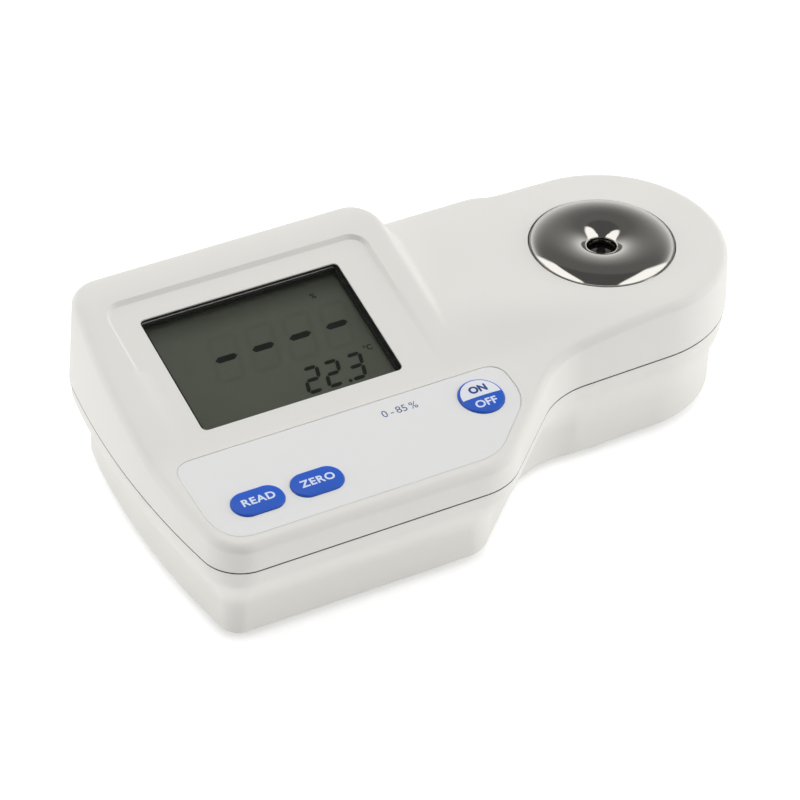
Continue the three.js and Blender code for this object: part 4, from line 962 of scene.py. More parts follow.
@dataclass(frozen=True)
class CaseTop:
    """The faces of the upper shell, as heights over the parting plane."""

    crease_y: float = -14.0
    crease: float = 12.3
    keypad_slope: float = 0.115
    display_slope: float = 0.265
    panel_slope: float = 0.245
    ramp_slope: float = 0.12
    ramp_x: float = 10.0
    deck_height: float = 16.9
    hood_height: float = 27.4
    hood_right: float = 1.9
    hood_corner: float = 10.5
    hood_lean: float = 0.62
    hood_back: float = 2.8
    hood_stand: float = 2.5
    wall_draft: float = 0.055
    back: float = 51.0
    crease_round: float = 0.3
    ramp_round: float = 0.8
    deck_round: float = 1.6
    hood_round: float = 1.0
    hood_edge: float = 1.9
    hood_foot: float = 1.6
    far_in: float = 9.0

    def keypad(self, y: Array | float) -> Array:
        """The keypad face."""
        return self.crease + self.keypad_slope * (np.asarray(y, float) - self.crease_y)

    def display(self, y: Array | float) -> Array:
        """The steeper display face."""
        return self.crease + self.display_slope * (np.asarray(y, float) - self.crease_y)

    def panel(self, y: Array | float) -> Array:
        """The sunk panel round the window."""
        return self.crease + self.panel_slope * (np.asarray(y, float) - self.crease_y)

    def deck(self, x: Array, y: Array) -> Array:
        """The low part, which ramps up to the flat deck of the nose.

        Args:
            x: places along the case.
            y: places across it.

        Returns:
            Heights over the parting plane.
        """
        slope = smooth_max(self.keypad(y), self.display(y), self.crease_round)
        ramp = smooth_max(self.ramp_slope * (x - self.ramp_x), 0.0, self.ramp_round)
        return smooth_min(slope + ramp, self.deck_height, self.deck_round)

    def hood(self, x: Array, y: Array) -> Array:
        """The raised hood over the display, with its slanted right side.

        Args:
            x: places along the case.
            y: places across it.

        Returns:
            Heights over the parting plane.
        """
        top = smooth_min(self.display(y), self.hood_height, self.hood_round)
        y_side = np.minimum(y, self.back - self.hood_back)
        centre_x = self.hood_right - self.hood_corner
        centre_y = self.back - self.wall_draft * self.hood_height - self.hood_corner
        dx, dy = x - centre_x, y_side - centre_y
        angle = np.clip(np.arctan2(np.maximum(dy, 0.0), np.maximum(dx, 1e-6)) / QUARTER, 0.0, 1.0)
        # To the left of the corner no rim is near, so any large distance will do.
        beside = np.where(dy <= 0.0, self.hood_right - x, self.far_in)
        rim = np.where((dx > 0.0) & (dy > 0.0), self.hood_corner - np.hypot(dx, dy), beside)
        lean = self.hood_lean + (self.wall_draft * 2.0 - self.hood_lean) * angle**2
        return smooth_min(top, top + rim / lean, self.hood_edge)

    def height(self, x: Array, y: Array) -> Array:
        """The whole top, before the panel and the keypad film are sunk into it.

        Args:
            x: places along the case.
            y: places across it.

        Returns:
            Heights over the parting plane.
        """
        x, y = np.asarray(x, float), np.asarray(y, float)
        deck = self.deck(x, y)
        stand = np.clip((self.display(y) - deck) / self.hood_stand, 0.0, 1.0)
        return smooth_max(self.hood(x, y), deck, np.maximum(self.hood_foot * stand, 1e-3))

    def over(self, plan: Array) -> Array:
        """The whole top over points of the plan."""
        return self.height(plan[:, 0], plan[:, 1])


@dataclass
class TiltedFace:
    """A frame on one of the case's sloping faces."""

    x: float
    y: float
    z: float
    slope: float

    @property
    def place(self) -> Matrix:
        """The frame as a matrix over the parting plane."""
        return Matrix.Translation((self.x, self.y, self.z)) @ Matrix.Rotation(math.atan(self.slope), 4, "X")

    def local(self, x: float, y: float) -> Pair:
        """A point of the plan, in the face's own frame."""
        return x - self.x, (y - self.y) / math.cos(math.atan(self.slope))

    def plan(self, loop: Array) -> Array:
        """A loop in the face's own frame, seen in plan."""
        return np.column_stack([loop[:, 0] + self.x, loop[:, 1] * math.cos(math.atan(self.slope)) + self.y])


@dataclass
class Case:
    """The upper shell, the edge of its window and the seal under it."""

    workshop: Workshop
    plan: CasePlan = field(default_factory=CasePlan)
    top: CaseTop = field(default_factory=CaseTop)
    wall: float = 3.0
    wall_lean: float = 0.3
    wall_rows: int = 8
    edge: float = 2.6
    edge_rows: int = 10
    edge_level: float = 20.0
    lip: float = 0.25
    lip_width: float = 1.3
    seal_room: float = 1.1
    grid: float = 3.0
    fine_bands: Sequence[Band] = (
        Band((-11.0, 12.0), (-16.0, 49.0), (0.7, 0.9)), Band((-88.0, -11.0), (39.4, 46.2), (2.0, 0.6)),
        Band((-92.0, -11.0), (-15.1, -13.3), (2.5, 0.45)),
    )
    panel: tuple[float, float, float, float] = (-84.8, -5.0, -12.6, 38.0)
    panel_corners: Sequence[float] = (1.5, 1.5, 5.5, 5.5)
    panel_wall: float = 0.9
    panel_roof: float = 2.05
    window_at: Pair = (-46.5, 11.2)
    window: Triple = (60.3, 40.6, 1.6)
    liner: Pair = (-0.33, -1.95)
    liner_wall: float = 0.24
    liner_sunk: float = 0.02
    keypad_at: Pair = (-41.0, -31.0)
    film_recess: float = 0.56
    film_wall: float = 0.05
    seal: Triple = (1.6, 2.7, 0.8)
    seal_fin: Pair = (0.1, 0.24)
    well_radius: float = 20.97

    def __post_init__(self) -> None:
        """Trace the outline and set up the sloping faces."""
        self.outline = self.plan.outline()
        x, y = self.window_at
        self.display_face = TiltedFace(x, y, float(self.top.panel(y)), self.top.panel_slope)
        x, y = self.keypad_at
        self.keypad_face = TiltedFace(x, y, float(self.top.keypad(y)), self.top.keypad_slope)

    def window_loop(self, gap: float) -> Array:
        """Edge of the window's opening in its face's own frame.

        Args:
            gap: how far the edge is moved in.

        Returns:
            The loop.
        """
        width, depth, corner = self.window
        x, y = width / 2.0 - gap, depth / 2.0 - gap
        return rounded(oblong(-x, x, -y, y), [corner] * 4, 1.0)

    def flanks(self, draft: Draft) -> tuple[Array, Array, list[list[int]]]:
        """Raise the walls and round them over into the top.

        Args:
            draft: the draft to add to.

        Returns:
            The height of the top along its edge, that edge in plan, and the walls' rows of points.
        """
        slant = self.top.wall_draft
        # The walls lean, so the top is looked up where they are at a usual level.
        crest = self.top.over(self.outline.inset(slant * self.edge_level + self.edge))
        shoulder = crest - self.edge
        levels = [self.lip + (shoulder - self.lip) * share for share in np.linspace(0.0, 1.0, self.wall_rows)]
        rows = [draft.ring(self.outline.inset(slant * level), level) for level in levels]
        for k in range(1, self.edge_rows + 1):
            turn = QUARTER * k / self.edge_rows
            blend = math.sin(turn)
            plan = self.outline.inset(slant * shoulder + self.edge * (1.0 - math.cos(turn)))
            level = (crest * (1.0 - blend) + self.top.over(plan) * blend) - self.edge * (1.0 - blend)
            rows.append(draft.ring(plan, level))
        draft.tower(rows)
        return crest, self.outline.inset(slant * shoulder + self.edge), rows

    def upper(self, film_loop: Array, key_loops: Sequence[Array]) -> None:
        """Build the upper shell.

        Args:
            film_loop: edge of the keypad film's recess in plan.
            key_loops: edges of the key holes in plan.
        """
        draft = Draft()
        crest, border, rows = self.flanks(draft)
        panel = rounded(oblong(*self.panel), self.panel_corners, 1.0)
        window = self.display_face.plan(self.window_loop(0.0))
        rim = circle(self.well_radius, WELL_AT, ROUND_SIDES)
        loops = [
            border, panel, grown(panel, -self.panel_wall), window, film_loop,
            grown(film_loop, -self.film_wall), rim, *key_loops,
        ]
        holes = [3, *range(6, len(loops))]
        sheet = Sheet.fill(loops, holes, self.grid, self.fine_bands)
        y = sheet.plan[:, 1]
        skin = self.top.over(sheet.plan)
        bed = self.top.panel(y)
        framed = sheet.sunk(panel, edge=1, bed=2)
        under = np.where(framed | inside(panel, sheet.plan), bed - self.panel_roof, skin - self.wall)
        skin[framed] = np.minimum(bed, skin)[framed]
        filmed = sheet.sunk(film_loop, edge=4, bed=5)
        skin[filmed] = (self.top.keypad(y) - self.film_recess)[filmed]
        outer = draft.lay(sheet, skin)
        inner = draft.lay(sheet, under)
        draft.snap(outer[0], rows[-1])
        for number in holes:
            draft.bridge(outer[number], inner[number])
        draft.tower([
            rows[0],
            draft.ring(self.outline.inset(self.lip_width), self.lip),
            draft.ring(self.outline.inset(self.lip_width), self.seal_room),
            draft.ring(self.outline.inset(self.wall), self.seal_room),
            draft.ring(self.outline.inset(self.wall + self.wall_lean), crest * 0.5),
            inner[0],
        ])
        self.workshop.piece(
            "upper_shell", draft, MOULDED_ABS, Body.CASE, ["upper_housing"], slot="housing_white"
        )

    def window_edge(self) -> None:
        """Black liner on the wall of the window's opening, round the edge of the window."""
        outer = self.window_loop(self.liner_sunk)
        inner = grown(outer, -self.liner_wall)
        top, bottom = self.liner
        draft = Draft()
        section = ((outer, top), (inner, top), (inner, bottom), (outer, bottom))
        rows = [draft.ring(loop, height) for loop, height in section]
        draft.tower([*rows, rows[0]])
        self.workshop.piece("window_liner", draft, BLACK_MOULDING, Body.CASE, place=self.display_face.place)

    def shell_seal(self) -> None:
        """Seal between the shells, with a thin fin that shows as the dark line round the case."""
        near, far, half = self.seal
        tip, fin = self.seal_fin
        section = [
            (near, half), (far, half), (far, -half), (near, -half), (near, -fin), (tip, -fin), (tip, fin),
            (near, fin),
        ]
        draft = Draft()
        rows = [draft.ring(self.outline.inset(inset), level) for inset, level in section]
        draft.tower([*rows, rows[0]])
        self.workshop.piece("shell_seal", draft, SEAL, Body.CASE, ["housing_seal"], slot="seal_rubber")


@dataclass
class LowerCase:
    """The lower shell: a short skirt, a shoulder and a narrower tray under it."""

    workshop: Workshop
    case: Case
    depth: float = LOWER_DEPTH
    lip_drop: float = 0.25
    lip_inset: float = 0.35
    skirt_inset: float = 0.6
    skirt: float = 4.2
    shoulder: float = 12.3
    shoulder_rows: Pair = (5.0, 17.0)
    tray_rows: float = 19.0
    inner_rows: Sequence[float] = (5.0, 8.0, 10.0, 12.0, 15.0, 19.0)
    bottom_round: float = 1.5
    bottom_rows: int = 6
    flat_border: float = 0.12
    grid: float = 14.0
    roof_grid: float = 12.0
    wall: float = 3.0
    pot_radius: float = 32.2
    pot_wall: float = 2.2
    pot_ceiling: float = -3.1
    pot_top: float = -1.1
    pot_bore: float = 30.0
    pot_lip: float = -22.9
    cover_recess: float = 33.5
    cover_ledge: float = -25.6
    lead_slot: tuple[float, float, float, float] = (-17.2, -12.9, -5.0, 5.0)
    foot_hole: float = 5.3
    foot_sunk: float = 1.3
    foot_sides: int = 48
    screw_sides: int = 32
    screw_hole: float = 2.7
    screw_seat: float = -15.7
    shank_hole: float = 1.6
    boss: float = 3.4
    boss_top: float = -0.15

    def inset(self, depth: float) -> Array:
        """How far in the wall is at a depth, for each point of the outline.

        Args:
            depth: depth under the parting plane.

        Returns:
            The distances.
        """
        ramp = min(max((depth - self.skirt) / self.shoulder, 0.0), 1.0)
        share = 0.97 * ramp * ramp * (3.0 - 2.0 * ramp) + 0.03 * depth / self.depth
        start = self.lip_inset + (self.skirt_inset - self.lip_inset) * min(depth / self.skirt, 1.0)
        return start + (self.case.outline.taper - self.skirt_inset) * share

    def cup(
        self, draft: Draft, centre: Sequence[float], rows: Sequence[Sequence[float]], start: Sequence[int]
    ) -> list[int]:
        """Line a round hole from its rim inwards.

        Args:
            draft: the draft to add to.
            centre: the hole's centre in plan.
            rows: radius and height of each row.
            start: the rim's points.

        Returns:
            The last row's points.
        """
        rings = [list(start)]
        rings.extend(draft.ring(circle(radius, centre, len(start)), level) for radius, level in rows)
        draft.tower(rings)
        return rings[-1]

    def build(self, feet: Sequence[Sequence[float]], screws: Sequence[Sequence[float]]) -> None:
        """Make the shell.

        Args:
            feet: centres of the rubber feet in plan.
            screws: centres of the case screws in plan.
        """
        draft = Draft()
        outline = self.case.outline
        low = self.depth - self.bottom_round
        depths = [
            *np.linspace(self.lip_drop, self.skirt, 4), *np.linspace(*self.shoulder_rows, 16),
            *np.linspace(self.tray_rows, low, 4),
        ]
        rows = [draft.ring(outline.inset(self.inset(d)), -d) for d in depths]
        for k in range(1, self.bottom_rows + 1):
            turn = QUARTER * k / self.bottom_rows
            depth = low + self.bottom_round * math.sin(turn)
            bend = self.bottom_round * (1.0 - math.cos(turn))
            rows.append(draft.ring(outline.inset(self.inset(depth) + bend), -depth))
        border = outline.inset(self.inset(self.depth) + self.bottom_round + self.flat_border)
        rows.append(draft.ring(border, -self.depth))
        draft.tower(rows)
        pot = circle(self.cover_recess, BATTERY_AT, ROUND_SIDES)
        foot_rims = [circle(self.foot_hole, at, self.foot_sides) for at in feet]
        screw_rims = [circle(self.screw_hole, at, self.screw_sides) for at in screws]
        loops = [border, pot, *foot_rims, *screw_rims]
        rims = draft.lay(Sheet.fill(loops, range(1, len(loops)), self.grid), -self.depth)
        lid = self.cup(
            draft, BATTERY_AT,
            [(self.cover_recess, self.cover_ledge), (self.pot_bore, self.cover_ledge),
             (self.pot_bore, self.pot_lip), (self.pot_radius, self.pot_lip),
             (self.pot_radius, self.pot_ceiling)], rims[1],
        )
        for at, rim in zip(feet, rims[2:]):
            draft.lid(self.cup(draft, at, [(self.foot_hole, self.foot_sunk - self.depth)], rim))
        boss_ends = [
            self.cup(
                draft, at,
                [(self.screw_hole, self.screw_seat), (self.shank_hole, self.screw_seat),
                 (self.shank_hole, self.boss_top), (self.boss, self.boss_top)], rim,
            )
            for at, rim in zip(screws, rims[2 + len(feet):])
        ]

        inner_edge = outline.inset(self.inset(self.depth - self.wall) + self.wall)
        outside = circle(self.pot_radius + self.pot_wall, BATTERY_AT, ROUND_SIDES)
        loops = [inner_edge, outside, *(circle(self.boss, at, self.screw_sides) for at in screws)]
        inner_rims = draft.lay(Sheet.fill(loops, range(1, len(loops)), self.grid), self.wall - self.depth)
        for end, foot in zip(boss_ends, inner_rims[2:]):
            draft.bridge(end, foot)
        roof = self.cup(draft, BATTERY_AT, [(self.pot_radius + self.pot_wall, self.pot_top)], inner_rims[1])
        within = circle(self.pot_radius, BATTERY_AT, ROUND_SIDES)
        ceiling = self.roof(draft, within, lid, self.pot_ceiling)
        draft.bridge(ceiling, self.roof(draft, outside, roof, self.pot_top))

        lip, room = outline.inset(self.case.lip_width), self.case.seal_room
        draft.tower([
            rows[0], draft.ring(lip, -self.lip_drop), draft.ring(lip, -room),
            *(draft.ring(outline.inset(self.inset(d) + self.wall), -d) for d in (room, *self.inner_rows)),
            inner_rims[0],
        ])
        self.workshop.piece(
            "lower_shell", draft, MOULDED_ABS, Body.CASE, ["lower_housing"], slot="housing_white"
        )

    def roof(self, draft: Draft, rim: Array, row: Sequence[int], level: float) -> list[int]:
        """Close the battery room with a flat sheet that leaves the leads' slot open.

        Args:
            draft: the draft to add to.
            rim: the sheet's edge in plan.
            row: the points of the wall that it closes.
            level: the sheet's height.

        Returns:
            The points round the slot.
        """
        slot = evened(np.array(oblong(*self.lead_slot)), 2.0)
        edge, opening = draft.lay(Sheet.fill([rim, slot], [1], self.roof_grid), level)
        draft.snap(edge, row)
        return opening


# Geometry Nodes for what repeats


@dataclass(frozen=True)
class Course:
    """One course of a stacked shape: the tree's input for its height, and how much it then narrows."""

    rise: str
    scale: float


@dataclass
class Grower:
    """Builds one node tree that stacks a round part and sets it, head down, on every point of a mesh."""

    name: str
    finish: Finish
    sizes: dict[str, float]
    courses: Sequence[Course]
    sides: int = 48
    cross: bool = False
    weld: float = 2e-7

    def tree(self, material: Material) -> NodeTree:
        """Build the tree.

        Args:
            material: what the part is made of.

        Returns:
            The tree, whose named inputs are sizes in metres.
        """
        tree = bpy.data.node_groups.new(self.name, "GeometryNodeTree")
        tree.interface.new_socket("Geometry", in_out="INPUT", socket_type="NodeSocketGeometry")
        for name in self.sizes:
            tree.interface.new_socket(name, in_out="INPUT", socket_type="NodeSocketFloat")
        tree.interface.new_socket("Geometry", in_out="OUTPUT", socket_type="NodeSocketGeometry")
        given = add_node(tree, "NodeGroupInput")
        base = add_node(
            tree, "GeometryNodeMeshCircle", {"Vertices": self.sides, "Radius": given.outputs["Radius"]},
            fill_type="NGON",
        )
        shape, top = base, None
        for course in self.courses:
            shape, top = self.stack(tree, shape, top, given.outputs[course.rise], course.scale)
        closed = add_node(tree, "GeometryNodeJoinGeometry")
        flipped = add_node(tree, "GeometryNodeFlipFaces", {"Mesh": base})
        for side in (shape, flipped):
            tree.links.new(side.outputs[0], closed.inputs["Geometry"])
        welded = add_node(tree, "GeometryNodeMergeByDistance", {"Geometry": closed, "Distance": 1e-6})
        part = self.recess(tree, given, welded) if self.cross else welded
        placed = add_node(
            tree, "GeometryNodeInstanceOnPoints",
            {"Points": given, "Instance": part, "Rotation": (math.pi, 0.0, 0.0)},
        )
        real = add_node(tree, "GeometryNodeRealizeInstances", {"Geometry": placed})
        dressed = add_node(tree, "GeometryNodeSetMaterial", {"Geometry": real, "Material": material})
        add_node(tree, "NodeGroupOutput", {"Geometry": dressed})
        return tree

    def stack(
        self, tree: NodeTree, shape: Node, top: NodeSocket | None, rise: NodeSocket, scale: float
    ) -> tuple[Node, NodeSocket]:
        """Raise the top face and then scale it.

        Args:
            tree: the tree.
            shape: the node with the geometry so far.
            top: selection of its top face, or None for all faces.
            rise: how far the face rises.
            scale: how much it is scaled after that.

        Returns:
            The node with the new geometry, and the selection of its top.
        """
        raised = add_node(
            tree, "GeometryNodeExtrudeMesh", {"Mesh": shape, "Offset Scale": rise, "Individual": False},
            mode="FACES",
        )
        if top is not None:
            tree.links.new(top, raised.inputs["Selection"])
        selected = raised.outputs["Top"]
        scaled = add_node(
            tree, "GeometryNodeScaleElements", {"Geometry": raised, "Selection": selected, "Scale": scale}
        )
        return scaled, selected

    def recess(self, tree: NodeTree, given: Node, part: Node) -> Node:
        """Sink a cross recess into the head.

        Args:
            tree: the tree.
            given: its input node.
            part: the node with the part.

        Returns:
            The node with the cut part.
        """
        cut = add_node(tree, "GeometryNodeMeshBoolean", {"Mesh 1": part}, operation="DIFFERENCE")
        level = add_node(tree, "ShaderNodeCombineXYZ", {"Z": given.outputs["Full height"]})
        for across, along in (("Recess span", "Recess width"), ("Recess width", "Recess span")):
            size = add_node(
                tree, "ShaderNodeCombineXYZ",
                {"X": given.outputs[across], "Y": given.outputs[along], "Z": given.outputs["Recess depth"]},
            )
            bar = add_node(tree, "GeometryNodeMeshCube", {"Size": size})
            moved = add_node(tree, "GeometryNodeTransform", {"Geometry": bar, "Translation": level})
            tree.links.new(moved.outputs[0], cut.inputs["Mesh 2"])
        return cut

    def grow(self, workshop: Workshop, points: Sequence[Sequence[float]]) -> Mesh:
        """Set the part on each point.

        Args:
            workshop: where the material comes from.
            points: places in millimetres, over the parting plane.

        Returns:
            One mesh with all of them.
        """
        seeds = bpy.data.meshes.new(self.name + "_points")
        seeds.from_pydata([(x * MM, y * MM, (z + PARTING) * MM) for x, y, z in points], [], [])
        holder = put(self.name + "_points", seeds)
        tree = self.tree(workshop.material(self.finish))
        modifier = holder.modifiers.new(self.name, "NODES")
        modifier.node_group = tree
        for item in tree.interface.items_tree:
            if item.in_out == "INPUT" and item.name in self.sizes:
                modifier[item.identifier] = self.sizes[item.name] * MM
        mesh = evaluated(holder)
        mesh.name = self.name
        work = bmesh.new()
        work.from_mesh(mesh)
        bmesh.ops.remove_doubles(work, verts=work.verts, dist=self.weld)
        bmesh.ops.recalc_face_normals(work, faces=work.faces)
        work.to_mesh(mesh)
        work.free()
        return mesh


@dataclass
class Underside:
    """What is fixed to the bottom: rubber feet, case screws and the battery cover."""

    workshop: Workshop
    depth: float = LOWER_DEPTH
    feet: Sequence[Pair] = ((-80.5, -37.0), (-70.0, 38.5), (41.76, -12.32), (41.76, 37.96))
    screws: Sequence[Pair] = (
        (-84.0, -26.0), (-82.0, 41.6), (-12.0, -36.0), (-7.5, 41.6), (88.2, 13.42),
    )
    foot_seat: float = 1.0
    screw_level: float = 4.0
    screw_radii: Pair = (1.3, 2.4)
    flange: float = 33.2
    flange_thickness: float = 1.0
    flange_edge: float = 0.3
    spigot: float = 29.6
    spigot_top: float = -21.2
    plate_top: float = -24.4
    ring_wall: float = 2.0
    groove: Triple = (28.3, -25.1, -23.5)
    lug_reach: float = 1.9
    lug_width: float = 8.0
    lug_levels: Pair = (-22.6, -21.2)
    dish: float = 11.0
    dish_depth: float = 0.43
    slot: Triple = (17.0, 2.4, 1.3)
    slot_corner: float = 0.35
    lug_corner: float = 0.3

    def build(self) -> None:
        """Make the feet, the screws and the cover."""
        self.rubber_feet()
        self.case_screws()
        self.battery_cover()

    def rubber_feet(self) -> None:
        """Four domed feet, pressed into their holes."""
        sizes = {"Radius": 5.0, "Sunk part": 1.0, "Side": 0.95, "Round": 0.35, "Crown": 0.3}
        courses = [
            Course("Sunk part", 1.0), Course("Side", 0.985), Course("Round", 0.93), Course("Crown", 0.72),
        ]
        grower = Grower("rubber_feet", RUBBER, sizes, courses)
        mesh = grower.grow(self.workshop, [(x, y, self.foot_seat - self.depth) for x, y in self.feet])
        names = ["foot_front_left", "foot_back_left", "foot_front_right", "foot_back_right"]
        self.workshop.settle("rubber_feet", mesh, Body.CASE, names, "foot_rubber")

    def case_screws(self) -> None:
        """Five cross-recess screws, deep in their holes."""
        shank, head = self.screw_radii
        sizes = {
            "Radius": shank, "Shank": 20.0, "Head side": 1.5, "Head round": 0.45, "Head crown": 0.2,
            "Recess span": 2.7, "Recess width": 0.62, "Recess depth": 2.0, "Full height": 22.15,
        }
        courses = [
            Course("Shank", head / shank), Course("Head side", 1.0), Course("Head round", 0.86),
            Course("Head crown", 0.6),
        ]
        grower = Grower("case_screws", ZINC_STEEL, sizes, courses, sides=36, cross=True)
        mesh = grower.grow(self.workshop, [(x, y, self.screw_level) for x, y in self.screws])
        names = [f"housing_screw_{i}" for i in range(1, 6)]
        self.workshop.settle("case_screws", mesh, Body.CASE, names, "screw_zinc")

    def battery_cover(self) -> None:
        """The round cover that turns out with a coin."""
        draft = Draft()
        base = -self.depth
        edge, ledge = self.flange_edge, base + self.flange_thickness
        groove, low, high = self.groove
        bore = self.spigot - self.ring_wall
        section = (
            (self.flange - edge, base), (self.flange - edge * 0.3, base + edge * 0.3),
            (self.flange, base + edge), (self.flange, ledge), (self.spigot, ledge), (self.spigot, low),
            (groove, low), (groove, high), (self.spigot, high), (self.spigot, self.spigot_top),
            (bore, self.spigot_top), (bore, self.plate_top),
        )
        rows = [draft.ring(circle(radius, BATTERY_AT, ROUND_SIDES), level) for radius, level in section]
        draft.tower(rows)
        draft.lid(rows[-1])
        length, width, depth = self.slot
        x, y = length / 2.0, width / 2.0
        slot = rounded(oblong(-x, x, -y, y), [self.slot_corner] * 4, 0.7) + np.array(BATTERY_AT)
        rings = [circle(radius, BATTERY_AT, ROUND_SIDES) for radius in (self.flange - edge, self.dish)]
        face = Sheet.fill([*rings, slot], [2], 2.0)
        reach = np.hypot(face.plan[:, 0] - BATTERY_AT[0], face.plan[:, 1] - BATTERY_AT[1])
        bowl = np.clip(1.0 - reach / self.dish, 0.0, 1.0)
        rim = draft.lay(face, base + self.dish_depth * bowl)[2]
        floor = draft.ring(slot, base + depth)
        draft.bridge(rim, floor)
        draft.lid(floor)
        for i in range(3):
            self.lug(draft, FULL_TURN * i / 3.0)
        self.workshop.piece(
            "battery_cover_cap", draft, MOULDED_ABS, Body.DOOR, ["battery_cover"], slot="housing_white"
        )

    def lug(self, draft: Draft, turn: float) -> None:
        """One bayonet lug of the cover, at an angle in plan.

        Args:
            draft: the draft to add to.
            turn: the angle.
        """
        half = self.lug_width / 2.0
        corners = oblong(self.spigot - self.flange_thickness, self.spigot + self.lug_reach, -half, half)
        spin = np.array([[math.cos(turn), math.sin(turn)], [-math.sin(turn), math.cos(turn)]])
        plan = rounded(corners, [self.lug_corner] * 4, 2.0) @ spin + np.array(BATTERY_AT)
        draft.block(plan, *self.lug_levels)


# The keypad


def half_rounds(length: float, radius: float) -> Array:
    """Outline of a key: two half circles with straight sides between them.

    Args:
        length: its length.
        radius: half its width.

    Returns:
        The outline, centred.
    """
    spacing = 0.5
    reach = length / 2.0 - radius
    steps = max(24, math.ceil(math.pi * radius / spacing))
    if reach <= 0.0:
        return circle(radius, (0.0, 0.0), 2 * steps)
    turn = np.linspace(-QUARTER, QUARTER, steps + 1)
    right = np.column_stack([reach + radius * np.cos(turn), radius * np.sin(turn)])
    return evened(np.concatenate([right, -right]), spacing)


@dataclass(frozen=True)
class Key:
    """One key: its cap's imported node, its body, its centre in plan, its length and half its width."""

    name: str
    body: Body
    at: Pair
    length: float
    radius: float


